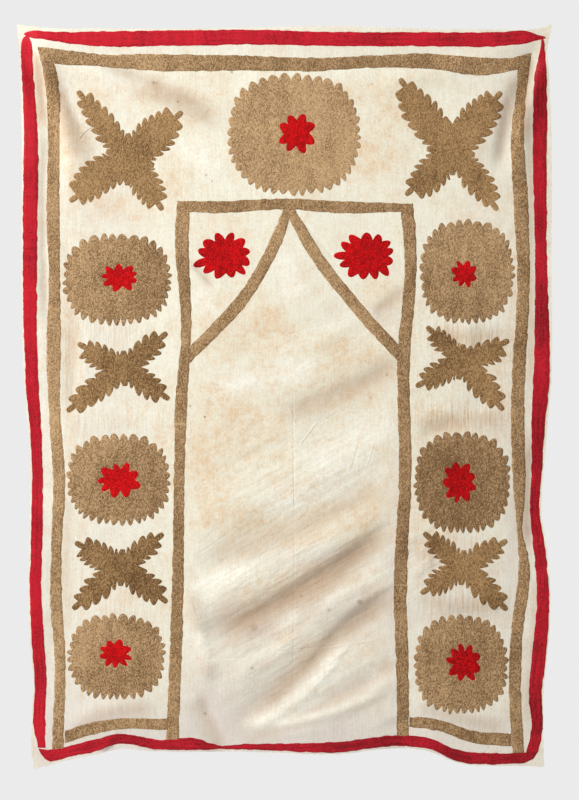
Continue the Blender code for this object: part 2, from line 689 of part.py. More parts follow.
def niche_opening(ground):
    """The ground inside the niche frame, drawn in by the gap on its three stitched sides."""
    down = range(NICHE_LOWER, RIBBON_IN_FOOT + 1)
    left = np.array(ground.line((NICHE_IN_LEFT,), down)) + (GAP, 0)
    right = np.array(ground.line((NICHE_IN_RIGHT,), down)) - (GAP, 0)
    top = np.array(ground.line(range(NICHE_IN_LEFT, NICHE_IN_RIGHT + 1), (NICHE_LOWER,))) - (0, GAP)
    left[0, 1] -= GAP
    right[0, 1] -= GAP
    return [*left[::-1], *top[1:-1], *right]


def add_niche_roof(ground, hanging):
    """The niche's two slanting lines, one piece that meets at the point and stops at the frame."""
    outline = to_metres(thick_line(ROOF, ROOF_WIDTH))
    opening = niche_opening(ground)
    add_applied("niche_roof", ground, [outline], STITCH_THICKNESS, KHAKI, hanging, within=opening)


def rosette_outline(row, seed, shrink=0.0):
    """Photo points round a serrated rosette whose four reaches differ, with teeth as uneven as handwork."""
    _, x, y, left, right, up, down, teeth, depth = row
    hand = random.Random(seed)
    points = []
    for tooth in range(teeth):
        long_or_short = hand.uniform(-0.25, 0.12) * depth
        shift = hand.uniform(-0.14, 0.14)
        for part, sink in ((0.0, depth), (0.5 + shift, -long_or_short)):
            angle = 2 * math.pi * (tooth + part) / teeth
            across, upward = math.cos(angle), math.sin(angle)
            reach_x = right if across > 0 else left
            reach_y = up if upward > 0 else down
            squarer = (abs(across) ** SQUARENESS + abs(upward) ** SQUARENESS) ** (-1 / SQUARENESS)
            reach_x -= sink + shrink
            reach_y -= sink + shrink
            points.append((x + across * squarer * reach_x, y - upward * squarer * reach_y))
    return points


def add_rosettes(ground, hanging):
    """The khaki rosettes, each pierced for its red centre, and the red ones over the roof."""
    gap = GAP / PIXEL
    for k, (rosette, centre) in enumerate(zip(ROSETTES, RED_CENTRES)):
        outline = to_metres(rosette_outline(rosette, seed=k))
        hole = to_metres(rosette_outline(centre, seed=20 + k, shrink=-gap))
        red = to_metres(rosette_outline(centre, seed=20 + k, shrink=gap))
        name = rosette[0]
        add_applied(f"rosette_{name}", ground, [outline, hole], STITCH_THICKNESS, KHAKI, hanging)
        add_applied(f"centre_{name}", ground, [red], STITCH_THICKNESS, STITCH_RED, hanging)
    for k, row in enumerate(RED_ROSETTES):
        outline = to_metres(rosette_outline(row, seed=40 + k))
        add_applied(f"red_rosette_{row[0]}", ground, [outline], STITCH_THICKNESS, STITCH_RED, hanging)


def leaf_half_width(t, width):
    """Half width of a leaf between its teeth, at a share t of the way to its tip."""
    full = width / 2 - LEAF_TOOTH_DEPTH
    narrowing = max(0.0, (t - 0.5) / 0.5)
    return full * (1 - 0.75 * narrowing ** 1.4)


def leaf_side(middle, tip, bow, width, teeth, start, side, hand):
    """Photo points along one toothed side of a leaf, from its first tooth to its tip."""
    along = tip - middle
    length = np.linalg.norm(along)
    along /= length
    clockwise = np.array((-along[1], along[0]))
    aside = side * clockwise
    points = []
    last = 1 - LEAF_TIP_WIDTH / length
    pitch = (last - start) / teeth
    for tooth in range(teeth):
        depth = LEAF_TOOTH_DEPTH * hand.uniform(0.8, 1.15)
        for part, rise in ((0.0, 0.0), (0.45, 0.9), (0.8, 1.0)):
            if tooth == 0 and rise == 0.0:
                continue
            t = start + (tooth + part) * pitch
            out = leaf_half_width(t, width) + rise * depth
            lean = rise * depth * 0.35
            bend = bow * 4 * t * (1 - t)
            points.append(middle + along * (t * length + lean) + aside * out + clockwise * bend)
    points.append(middle + along * last * length + aside * LEAF_TIP_WIDTH * 0.42)
    points.append(tip + aside * LEAF_TIP_WIDTH * 0.28)
    return points


def fork_between(middle, first, second):
    """Photo points in the fork between two neighbouring leaves, and how far along each leaf it is."""
    lines = []
    for (tip, _, width, *_), side in ((first, 1), (second, -1)):
        along = (tip - middle) / np.linalg.norm(tip - middle)
        aside = side * np.array((-along[1], along[0]))
        lines.append((middle + aside * (width - LEAF_TOOTH_DEPTH) / 2, along))
    (base_a, along_a), (base_b, along_b) = lines
    s, t = np.linalg.solve(np.stack([along_a, -along_b], axis=1), base_b - base_a)
    corner = base_a + along_a * s
    points = [corner]
    if math.acos(along_a @ along_b) > WIDE_FORK:
        outward = (corner - middle) / np.linalg.norm(corner - middle)
        across = np.array((-outward[1], outward[0])) * FORK_TOOTH_WIDTH / 2
        points = [corner - across, corner + outward * LEAF_TOOTH_DEPTH * 0.8, corner + across]
    return points, s / np.linalg.norm(first[0] - middle), t / np.linalg.norm(second[0] - middle)


def cross_outline(name, x, y, seed):
    """Photo points round a cross of four serrated leaves, listed in turn round its middle."""
    hand = random.Random(seed)
    middle = np.array((x, y), dtype=float)
    arms = [(np.array(row[1:3], dtype=float), *row[3:]) for row in CROSS_ARMS if row[0] == name]
    forks = []
    for k, arm in enumerate(arms):
        forks.append(fork_between(middle, arm, arms[(k + 1) % len(arms)]))
    points = []
    for k, (tip, bow, width, teeth_in, teeth_out) in enumerate(arms):
        points += leaf_side(middle, tip, bow, width, teeth_in, forks[k - 1][2], -1, hand)
        points += leaf_side(middle, tip, bow, width, teeth_out, forks[k][1], 1, hand)[::-1]
        points += forks[k][0]
    return points


def add_crosses(ground, hanging):
    """The six crosses of four serrated leaves."""
    for k, (name, x, y) in enumerate(CROSSES):
        outline = to_metres(cross_outline(name, x, y, seed=60 + k))
        add_applied(f"cross_{name}", ground, [outline], STITCH_THICKNESS, BROWN_KHAKI, hanging)


def build():
    for old in list(bpy.data.objects):
        bpy.data.objects.remove(old, do_unlink=True)
    hanging = bpy.data.objects.new("hanging", None)
    bpy.context.collection.objects.link(hanging)
    ground = Ground()
    half = CLOTH_THICKNESS / 2
    add_sheet("ground_cloth", ground.places, ground.lift, ground.triangles, -half, half, COTTON, hanging)
    add_ribbon(ground, hanging)
    add_outer_line(ground, hanging)
    add_foot_bars(ground, hanging)
    add_niche_frame(ground, hanging)
    add_niche_roof(ground, hanging)
    add_rosettes(ground, hanging)
    add_crosses(ground, hanging)


build()
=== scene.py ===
"""Looks of a suzani hanging: cotton with chain-stitched motifs and a sewn ribbon, built round its frame.

Metres, +Z up, front towards -Y, origin at the middle of the top edge. As in the part's source, the drawing is
laid out in the photograph's pixels, x to the right and y down, and the cloth's width turns them into metres.
Each piece replaces the solid of the same name and follows the same folds, at finer steps.
"""
import math
import random

import bpy
import numpy as np
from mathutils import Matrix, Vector
from mathutils.geometry import delaunay_2d_cdt

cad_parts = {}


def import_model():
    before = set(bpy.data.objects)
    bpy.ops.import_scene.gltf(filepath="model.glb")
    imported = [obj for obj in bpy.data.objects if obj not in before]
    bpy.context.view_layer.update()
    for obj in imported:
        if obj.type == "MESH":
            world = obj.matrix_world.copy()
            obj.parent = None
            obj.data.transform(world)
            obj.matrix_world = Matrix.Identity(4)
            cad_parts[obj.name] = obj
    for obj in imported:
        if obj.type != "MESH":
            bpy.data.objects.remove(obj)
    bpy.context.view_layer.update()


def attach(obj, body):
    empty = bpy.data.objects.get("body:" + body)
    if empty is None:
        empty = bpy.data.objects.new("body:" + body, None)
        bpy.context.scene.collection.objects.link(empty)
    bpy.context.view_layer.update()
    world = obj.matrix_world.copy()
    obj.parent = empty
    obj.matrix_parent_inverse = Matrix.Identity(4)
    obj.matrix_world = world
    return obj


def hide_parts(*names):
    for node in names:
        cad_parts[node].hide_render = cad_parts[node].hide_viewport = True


# Driving sizes, in metres
CLOTH_WIDTH = 1.25
CLOTH_THICKNESS = 0.0012
MILLIMETRE = 0.001
# Points nearer than this become one
SAME_POINT = 0.0003
# Steps of the ground's grid, and of the points inside a stitched piece and a ribbon
GROUND_STEP = 0.0068
STITCH_STEP = 0.0027
RIBBON_STEP = 0.0032
# Height of the stitching and of the ribbon over the ground, and how wide their rounded rims are
STITCH_HEIGHT = 0.0013
STITCH_RIM = 0.0030
RIBBON_HEIGHT = 0.0011
RIBBON_RIM = 0.0012
# How far the reverse of the stitching stands out behind the cloth
REVERSE_HEIGHT = 0.0003

# Where the photograph shows the cloth, in its pixels
PHOTO_CLOTH_WIDTH = 529.0
PHOTO_CLOTH_HEIGHT = 740.0
PHOTO_MIDDLE_X = 288.0
PHOTO_TOP_Y = 28.0
PIXEL = CLOTH_WIDTH / PHOTO_CLOTH_WIDTH

# Columns: photo y, cloth edge x, ribbon outer x, ribbon inner x
LEFT_SIDE = (
    (24, 16.5, 22.5, 31.0),
    (45, 18.5, 20.5, 32.0),
    (80, 20.3, 22.0, 33.5),
    (120, 21.5, 23.5, 37.0),
    (240, 21.7, 23.0, 37.3),
    (330, 22.3, 23.7, 36.7),
    (390, 24.3, 26.0, 38.7),
    (450, 29.2, 31.0, 41.7),
    (520, 29.6, 31.0, 42.7),
    (590, 28.5, 30.0, 41.3),
    (640, 29.8, 31.5, 44.0),
    (690, 33.0, 34.5, 46.0),
    (725, 31.2, 33.0, 44.7),
    (750, 31.2, 38.0, 45.5),
    (769, 33.5, 37.5, 47.0),
)
RIGHT_SIDE = (
    (24, 552.5, 546.0, 538.0),
    (48, 547.8, 545.5, 539.5),
    (75, 549.2, 546.8, 534.5),
    (120, 551.3, 547.0, 533.0),
    (270, 551.5, 547.0, 535.0),
    (340, 552.0, 549.3, 534.3),
    (385, 551.0, 549.3, 533.3),
    (420, 548.3, 545.5, 531.5),
    (470, 544.6, 542.6, 532.0),
    (512, 542.0, 540.0, 530.3),
    (545, 546.8, 545.0, 533.3),
    (600, 550.3, 549.0, 537.0),
    (640, 548.8, 547.5, 533.5),
    (695, 543.8, 542.0, 529.3),
    (735, 543.6, 542.0, 531.0),
    (752, 543.8, 538.0, 526.5),
    (767, 544.5, 537.5, 525.0),
)
# Columns: photo x, cloth edge y, ribbon outer y, ribbon inner y
TOP_SIDE = (
    (16, 24.0, 31.0, 36.0),
    (40, 27.3, 31.0, 39.0),
    (60, 28.5, 32.0, 42.3),
    (85, 28.3, 31.5, 45.0),
    (190, 28.6, 30.3, 45.2),
    (250, 27.5, 29.5, 44.5),
    (330, 26.2, 32.0, 46.0),
    (430, 28.5, 32.0, 46.0),
    (500, 29.3, 32.0, 46.2),
    (528, 29.5, 31.0, 43.5),
    (540, 28.0, 34.0, 41.0),
    (552, 23.5, 34.5, 41.0),
)
BOTTOM_SIDE = (
    (33, 769.5, 764.0, 750.0),
    (50, 765.0, 762.0, 749.5),
    (70, 760.0, 757.0, 746.0),
    (98, 753.8, 750.8, 738.3),
    (115, 749.8, 744.8, 734.5),
    (160, 751.5, 750.0, 740.0),
    (195, 752.0, 750.2, 738.5),
    (220, 751.8, 750.0, 746.3),
    (235, 751.8, 749.9, 745.2),
    (250, 752.0, 750.1, 744.3),
    (270, 752.4, 750.8, 744.0),
    (340, 753.8, 752.5, 742.0),
    (395, 748.8, 746.6, 736.0),
    (432, 752.2, 750.4, 739.2),
    (455, 762.0, 760.8, 749.3),
    (490, 765.7, 764.5, 753.5),
    (522, 766.0, 763.5, 753.0),
    (545, 767.0, 763.0, 752.5),
)
# Columns: photo y, outer x, inner x
OUTER_LINE_LEFT = (
    (47, 38.0, 49.5),
    (80, 44.5, 58.0),
    (150, 47.8, 59.3),
    (220, 46.2, 59.8),
    (280, 49.0, 60.0),
    (335, 46.5, 60.8),
    (410, 48.5, 60.0),
    (485, 53.0, 65.3),
    (550, 50.8, 61.5),
    (600, 50.0, 62.0),
    (660, 54.3, 65.3),
    (740, 52.0, 63.5),
)
OUTER_LINE_RIGHT = (
    (52, 532.0, 518.5),
    (90, 527.0, 516.5),
    (130, 524.0, 511.5),
    (200, 528.0, 513.3),
    (280, 529.7, 517.3),
    (350, 526.7, 513.7),
    (400, 524.5, 511.2),
    (500, 525.0, 514.5),
    (530, 522.6, 517.3),
    (560, 529.3, 518.7),
    (640, 522.5, 510.7),
    (690, 521.3, 509.0),
    (752, 524.5, 512.5),
)
# Columns: photo x, upper y, lower y
OUTER_LINE_TOP = (
    (38, 47.0, 63.0),
    (60, 49.5, 64.5),
    (100, 54.0, 66.7),
    (150, 54.0, 70.5),
    (240, 55.5, 70.5),
    (320, 58.0, 71.0),
    (375, 55.4, 67.8),
    (430, 53.5, 69.0),
    (490, 58.0, 75.0),
    (515, 57.0, 70.0),
    (532, 52.5, 67.0),
)
# Columns: photo y, outer x, inner x
NICHE_LEFT = (
    (201, 177.0, 190.0),
    (225, 175.2, 189.0),
    (340, 181.0, 191.0),
    (395, 175.7, 187.7),
    (480, 174.0, 184.5),
    (590, 171.8, 183.3),
    (739, 166.0, 178.8),
)
NICHE_RIGHT = (
    (204, 413.5, 400.0),
    (255, 416.5, 404.4),
    (360, 410.0, 397.5),
    (480, 411.3, 399.0),
    (590, 406.6, 393.5),
    (670, 408.7, 396.3),
    (737, 409.0, 397.0),
)
# Columns: photo x, upper y, lower y
NICHE_TOP = (
    (178, 201.0, 211.5),
    (220, 201.3, 213.0),
    (280, 198.5, 209.5),
    (350, 201.5, 213.4),
    (413, 203.5, 211.0),
)
FOOT_BARS = (
    (64, 731.0, 743.5),
    (95, 722.0, 734.0),
    (110, 719.5, 730.5),
    (165, 719.0, 730.0),
    (411, 717.0, 727.5),
    (440, 720.0, 731.5),
    (470, 730.5, 742.5),
    (510, 734.0, 746.5),
)
# The niche's roof line: photo x and y of its middle, from the left upright over the point to the right one
ROOF = ((180, 364), (210, 335), (242, 300), (270, 254), (289, 208), (316, 255), (353, 303), (410, 366))
ROOF_WIDTH = 12.0

# Columns: name, photo x and y of the middle, reach to the left, right, up and down, teeth, tooth depth
ROSETTES = (
    ("top", 294, 134, 67, 67, 61, 62, 41, 6.0),
    ("left_upper", 117, 279, 55, 55, 47, 47, 36, 6.5),
    ("left_middle", 118, 480, 52, 53, 47, 46, 36, 6.0),
    ("left_lower", 115, 656, 48, 51, 43, 45, 34, 6.0),
    ("right_upper", 467, 272, 48, 48, 53, 53, 36, 6.0),
    ("right_middle", 462, 482, 49, 50, 51, 52, 36, 6.0),
    ("right_lower", 461, 665, 48, 48, 51, 50, 36, 6.0),
)
# Columns: name, photo x and y of the middle, reach to the left, right, up and down, teeth, tooth depth
RED_CENTRES = (
    ("top", 297, 133, 19, 19, 20, 21, 8, 5.5),
    ("left_upper", 120, 277, 19, 19, 14, 15, 9, 5.0),
    ("left_middle", 119, 480, 22, 22, 18, 18, 9, 5.5),
    ("left_lower", 115, 654, 16, 17, 16, 15, 9, 5.0),
    ("right_upper", 464, 274, 13, 14, 14, 14, 8, 4.0),
    ("right_middle", 459, 482, 17, 18, 21, 21, 9, 5.0),
    ("right_lower", 463, 662, 17, 20, 19, 21, 9, 5.5),
)
RED_ROSETTES = (
    ("left", 225, 256, 28, 27, 24, 24, 12, 7.5),
    ("right", 368, 256, 30, 27, 24, 25, 13, 7.5),
)
# Columns: name, photo x and y of the middle; the leaves are in CROSS_ARMS
CROSSES = (
    ("top_left", 130, 159),
    ("top_right", 452, 150),
    ("left_upper", 124, 368),
    ("left_lower", 121, 567),
    ("right_upper", 463, 361),
    ("right_lower", 463, 567),
)
# Columns: cross, photo x and y of the tip, bow to the clockwise side, full width, teeth in, teeth out.
# Each cross lists its leaves clockwise; the teeth "in" are on the side that is met first going round.
CROSS_ARMS = (
    ("top_left", 77, 90, 0, 29, 6, 6),
    ("top_left", 183, 111, -1, 40, 6, 6),
    ("top_left", 163, 211, 0, 33, 5, 5),
    ("top_left", 69, 202, 4, 39, 6, 6),
    ("top_right", 399, 78, -3, 38, 6, 6),
    ("top_right", 502, 91, 0, 39, 6, 6),
    ("top_right", 498, 211, -2, 30, 6, 5),
    ("top_right", 405, 196, -3, 36, 5, 5),
    ("left_upper", 77, 343, -2, 28, 4, 5),
    ("left_upper", 168, 332, 0, 26, 4, 4),
    ("left_upper", 170, 400, 0, 27, 4, 4),
    ("left_upper", 66, 412, 0, 28, 5, 4),
    ("left_lower", 74, 542, -1, 30, 5, 5),
    ("left_lower", 164, 533, 0, 25, 4, 4),
    ("left_lower", 168, 603, 0, 29, 4, 5),
    ("left_lower", 72, 610, 0, 27, 4, 4),
    ("right_upper", 426, 326, 0, 23, 4, 5),
    ("right_upper", 510, 340, 3, 28, 4, 4),
    ("right_upper", 504, 411, 0, 29, 4, 5),
    ("right_upper", 415, 387, 0, 27, 5, 4),
    ("right_lower", 423, 532, 0, 25, 4, 5),
    ("right_lower", 508, 540, 0, 26, 4, 4),
    ("right_lower", 508, 611, 0, 27, 4, 4),
    ("right_lower", 420, 594, 0, 27, 5, 4),
)
LEAF_TOOTH_DEPTH = 6.0
FORK_TOOTH_WIDTH = 8.0
# A fork between leaves that is wider than this has a tooth in it
WIDE_FORK = math.radians(80)
# 2 draws a rosette as an ellipse, and more makes it squarer
SQUARENESS = 2.6

# Columns: name, start x and y, middle x and y, end x and y, half width, lift towards the viewer in mm
FOLDS = (
    ("left corner drop", 18, 30, 38, 95, 66, 190, 9, -6.0),
    ("left corner ridge", 22, 26, 62, 95, 84, 210, 11, 5.0),
    ("left corner drag", 20, 30, 130, 78, 240, 122, 12, 5.5),
    ("left corner hollow", 40, 60, 120, 112, 215, 160, 14, -4.0),
    ("right corner drop", 546, 40, 516, 105, 496, 185, 9, -6.0),
    ("right corner ridge", 548, 50, 530, 110, 514, 190, 8, 5.0),
    ("right corner drag", 550, 28, 470, 62, 360, 88, 11, 3.5),
    ("panel trough a", 270, 412, 345, 388, 405, 358, 13, -3.5),
    ("panel trough b", 185, 562, 298, 520, 405, 462, 17, -5.0),
    ("panel ridge b", 190, 520, 300, 482, 402, 430, 18, 4.0),
    ("panel trough c", 190, 638, 290, 596, 405, 520, 15, -8.0),
    ("panel ridge c", 190, 600, 292, 560, 402, 496, 15, 5.0),
    ("panel trough d", 215, 748, 315, 655, 402, 585, 13, -7.0),
    ("panel ridge d", 205, 700, 300, 630, 400, 556, 14, 5.0),
    ("panel trough e", 222, 750, 334, 699, 405, 655, 10, -5.5),
    ("panel ridge e", 240, 738, 325, 715, 402, 674, 9, 5.0),
    ("panel left ridge", 188, 575, 199, 637, 214, 690, 9, 4.0),
    ("foot swag", 196, 690, 214, 735, 226, 770, 12, -7.0),
    ("panel upper trough", 225, 352, 300, 332, 372, 312, 14, -2.0),
    ("left side swell", 20, 130, 24, 230, 24, 340, 22, 6.0),
    ("left side hollow", 28, 380, 33, 450, 32, 520, 20, -6.0),
    ("left side bulge", 28, 540, 30, 600, 32, 650, 20, 5.0),
    ("left foot hollow", 32, 660, 36, 700, 32, 745, 17, -4.0),
    ("right side swell", 552, 230, 553, 330, 549, 395, 22, 7.0),
    ("right side hollow", 546, 430, 538, 505, 545, 545, 20, -9.0),
    ("right side bulge", 549, 560, 553, 605, 546, 655, 20, 7.0),
    ("right foot hollow", 543, 670, 539, 710, 543, 745, 17, -5.0),
    ("left column streak", 44, 130, 44, 240, 48, 340, 5, -2.0),
    ("left column fold", 70, 320, 73, 365, 66, 425, 8, -2.5),
    ("right column gather", 470, 318, 468, 335, 474, 350, 8, 3.0),
    ("right column trough", 500, 395, 455, 420, 415, 440, 12, -4.0),
    ("right column crease", 400, 560, 425, 545, 440, 530, 9, -3.0),
    ("right column lower", 425, 610, 470, 603, 515, 600, 10, 3.5),
    ("left foot fold", 60, 742, 100, 712, 165, 705, 11, 3.0),
    ("right foot fold", 410, 702, 450, 712, 510, 724, 11, 3.0),
    ("foot wave left", 110, 740, 118, 752, 120, 770, 14, -5.0),
    ("foot wave right", 395, 715, 402, 740, 404, 770, 18, -5.0),
    ("foot wave middle", 300, 728, 302, 745, 304, 770, 26, 4.0),
)
FOLD_STEPS = 10
FOLD_FADE = 0.22
# The whole cloth's belly and how far its foot leans back, in mm
BELLY = 6.0
FOOT_LEAN = -3.6
# The ground's small unevenness: columns: radians across the half width, radians down, start, lift in mm
UNEVEN_WAVES = (
    (7.1, 5.3, 0.7, 0.9),
    (-4.1, 9.7, 1.9, 0.9),
    (15.3, -3.7, 2.2, 0.6),
    (2.3, 17.9, 0.4, 0.6),
)

# Soft gathers that the frame is too coarse for: the same columns as the folds
FINE_FOLDS = (
    ("left corner pleat", 30, 48, 41, 80, 46, 118, 4, -2.5),
    ("left corner second pleat", 62, 84, 74, 116, 82, 150, 6, -2.5),
    ("left column drape", 58, 100, 66, 142, 70, 190, 6, 2.5),
    ("right corner pleat", 537, 56, 529, 84, 525, 112, 4, -3.0),
    ("right corner second pleat", 512, 84, 504, 130, 500, 170, 5, -2.0),
    ("roof right crease", 372, 313, 388, 301, 404, 286, 5, -2.2),
    ("roof left crease", 190, 262, 203, 274, 214, 287, 4, -1.6),
    ("panel thin a", 215, 470, 262, 452, 300, 440, 5, -1.2),
    ("panel thin b", 205, 505, 262, 478, 330, 452, 5, 1.0),
    ("panel thin c", 225, 665, 280, 640, 318, 612, 5, -1.8),
    ("panel thin d", 330, 566, 366, 540, 398, 520, 5, -2.0),
    ("panel thin e", 338, 618, 372, 596, 398, 578, 5, 1.8),
    ("panel thin f", 245, 735, 300, 712, 350, 704, 5, 1.6),
    ("foot pull left", 190, 690, 206, 722, 222, 748, 5, 2.2),
    ("right column thin a", 418, 560, 430, 548, 441, 538, 4, 1.6),
    ("right column thin b", 420, 584, 432, 572, 446, 560, 4, -1.4),
    ("right column thin c", 440, 405, 470, 418, 505, 428, 5, 1.4),
    ("left column thin", 66, 225, 70, 300, 68, 395, 4, -1.2),
    ("outer left streak", 43, 130, 43, 230, 46, 330, 3.5, -1.2),
)
# Sharp old creases, drawn in the shading: columns: name, two ends, width in mm, depth in mm
CREASES = (
    ("middle upper", 293.0, 385.0, 294.5, 520.0, 2.2, 0.50),
    ("middle lower", 294.5, 520.0, 293.5, 690.0, 2.2, 0.35),
    ("short slanting", 299.0, 446.0, 316.5, 422.5, 1.8, -0.70),
    ("second slanting", 296.0, 425.0, 288.0, 405.0, 1.8, -0.60),
    ("upper panel", 225.0, 351.0, 358.0, 316.0, 2.4, 0.25),
    ("lower panel", 262.0, 653.0, 372.0, 642.0, 2.2, 0.35),
    ("right panel", 366.0, 470.0, 374.0, 442.0, 1.8, -0.45),
    ("right column", 415.0, 586.0, 512.0, 583.0, 2.2, 0.35),
    ("panel left", 196.0, 556.0, 236.0, 528.0, 2.4, 0.40),
    ("beside the short one", 317.0, 425.0, 344.0, 408.0, 2.4, 0.35),
    ("lower left", 182.0, 659.5, 246.0, 658.5, 2.2, 0.30),
    ("left triangle", 189.0, 261.0, 218.0, 290.0, 4.5, 0.90),
    ("beside the roof", 298.0, 215.0, 338.0, 264.0, 5.0, 0.70),
    ("left low", 192.0, 597.0, 200.5, 624.0, 2.6, 0.60),
    ("right thin", 360.0, 440.0, 351.0, 472.0, 2.4, 0.45),
    ("low bright", 328.0, 648.0, 379.0, 639.5, 2.6, -0.60),
)
# Folds with one crisp side: columns: photo x and y of start, middle and end, half width on the side above a
# line that runs to the right, half width below it, lift towards the viewer in mm
CRISP_FOLDS = (
    (220, 628, 310, 573, 400, 516, 13, 4.0, 3.6),
    (292, 686, 338, 622, 400, 578, 10, 4.0, 3.0),
    (236, 730, 302, 698, 356, 628, 9, 4.5, 3.2),
    (258, 728, 322, 716, 398, 688, 6, 3.5, 2.2),
    (198, 608, 202, 650, 211, 682, 9, 3.5, 3.0),
    (300, 348, 355, 322, 408, 282, 13, 7.0, 1.8),
    (280, 405, 345, 382, 406, 350, 12, 5.0, 1.8),
    (412, 578, 428, 560, 448, 545, 4, 3.5, 1.6),
    (414, 562, 430, 546, 452, 528, 4, 3.5, 1.6),
    (28, 40, 58, 100, 94, 162, 8, 4.0, 2.8),
    (40, 50, 45, 90, 47, 140, 5, 3.5, 2.0),
    (546, 36, 530, 90, 522, 152, 4, 5.0, 2.4),
    (400, 398, 416, 386, 436, 376, 4, 3.5, 1.4),
)
# Faint lines where the cloth was once folded across its stitching: columns: photo y, x from and to
FOLD_LINES = (
    (394, 173, 190),
    (424, 173, 188),
    (378, 397, 413),
    (195, 511, 530),
    (585, 392, 409),
    (660, 166, 182),
)
# Warm patches: peach stains, and painted shade beside folds: columns: photo x and y, reach across and down,
# strength
WARM_PATCHES = (
    (466, 416, 46, 12, 0.35),
    (110, 420, 50, 9, 0.25),
    (150, 92, 55, 16, 0.55),
    (196, 112, 26, 14, 0.60),
    (386, 104, 28, 30, 0.60),
    (372, 160, 26, 26, 0.75),
    (78, 128, 16, 30, 0.60),
    (128, 204, 26, 16, 0.70),
    (176, 180, 20, 16, 0.60),
    (84, 176, 14, 20, 0.50),
    (480, 345, 30, 12, 0.50),
    (500, 395, 14, 30, 0.50),
    (514, 280, 8, 60, 0.60),
    (162, 440, 10, 16, 0.70),
    (130, 600, 30, 10, 0.40),
    (345, 90, 22, 14, 0.30),
    (64, 130, 12, 34, 0.75),
    (41, 84, 8, 34, 0.85),
    (92, 200, 24, 16, 0.40),
    (200, 236, 18, 24, 0.30),
    (246, 236, 22, 22, 0.25),
    (258, 322, 34, 26, 0.65),
    (214, 330, 26, 30, 0.45),
    (318, 352, 62, 16, 0.35),
    (372, 362, 30, 26, 0.50),
    (386, 300, 16, 28, 0.45),
    (216, 400, 30, 30, 0.60),
    (250, 430, 40, 30, 0.50),
    (208, 470, 26, 36, 0.65),
    (245, 522, 46, 16, 0.70),
    (330, 392, 50, 20, 0.45),
    (352, 520, 48, 24, 0.50),
    (290, 590, 66, 16, 0.45),
    (380, 470, 26, 34, 0.35),
    (70, 310, 14, 60, 0.45),
    (72, 450, 12, 60, 0.30),
    (480, 205, 30, 14, 0.25),
    (60, 640, 10, 50, 0.25),
    (440, 420, 26, 16, 0.60),
    (434, 548, 20, 30, 0.40),
    (120, 628, 30, 10, 0.20),
    (105, 715, 46, 8, 0.25),
    (480, 612, 34, 12, 0.25),
)
# Greyer, duller patches of painted shade: side columns, foot, lower folds and beside the niche: the same columns
GREY_SHADE_PATCHES = (
    (300, 700, 120, 70, 0.60),
    (330, 560, 80, 16, 0.45),
    (352, 606, 60, 22, 0.55),
    (240, 622, 44, 20, 0.60),
    (254, 628, 14, 8, 0.60),
    (448, 600, 60, 60, 0.35),
    (110, 725, 70, 30, 0.45),
    (470, 730, 60, 26, 0.25),
    (505, 110, 20, 60, 0.30),
    (523, 90, 9, 50, 0.55),
    (210, 690, 24, 50, 0.35),
    (380, 315, 26, 14, 0.40),
    (294, 760, 280, 40, 0.90),
    (100, 420, 50, 400, 0.35),
    (294, 44, 300, 14, 0.35),
    (500, 400, 40, 400, 0.25),
    (46, 480, 8, 260, 0.40),
    (204, 722, 22, 30, 0.40),
    (518, 570, 14, 180, 0.50),
    (52, 705, 30, 60, 0.40),
    (396, 560, 10, 150, 0.45),
)
# Painted highlights along the fold ridges, kept clear of the patches and fold shade: columns as for the streaks
# below
PAINTED_RIDGE_HIGHLIGHTS = (
    (234, 728, 300, 700, 358, 628, 11, 0.95),
    (268, 726, 322, 714, 396, 690, 5, 0.60),
    (202, 626, 205, 648, 215, 668, 8, 0.90),
    (184, 592, 216, 580, 262, 562, 13, 0.80),
    (308, 472, 352, 440, 402, 418, 16, 0.80),
    (198, 394, 262, 378, 328, 360, 12, 0.80),
    (258, 504, 322, 488, 398, 452, 14, 0.85),
    (316, 610, 352, 586, 398, 566, 5, 0.60),
    (298, 604, 282, 638, 268, 668, 9, 0.50),
    (194, 288, 206, 302, 222, 318, 9, 0.60),
    (288, 250, 291, 275, 296, 305, 11, 0.70),
    (360, 640, 372, 668, 388, 684, 10, 0.45),
    (60, 62, 110, 76, 160, 92, 7, 0.50),
    (236, 62, 300, 66, 380, 68, 5, 0.60),
    (62, 70, 76, 110, 92, 140, 5, 0.60),
    (190, 140, 206, 160, 222, 172, 14, 0.50),
    (64, 392, 110, 404, 168, 412, 8, 0.40),
    (420, 402, 460, 410, 510, 404, 6, 0.35),
)
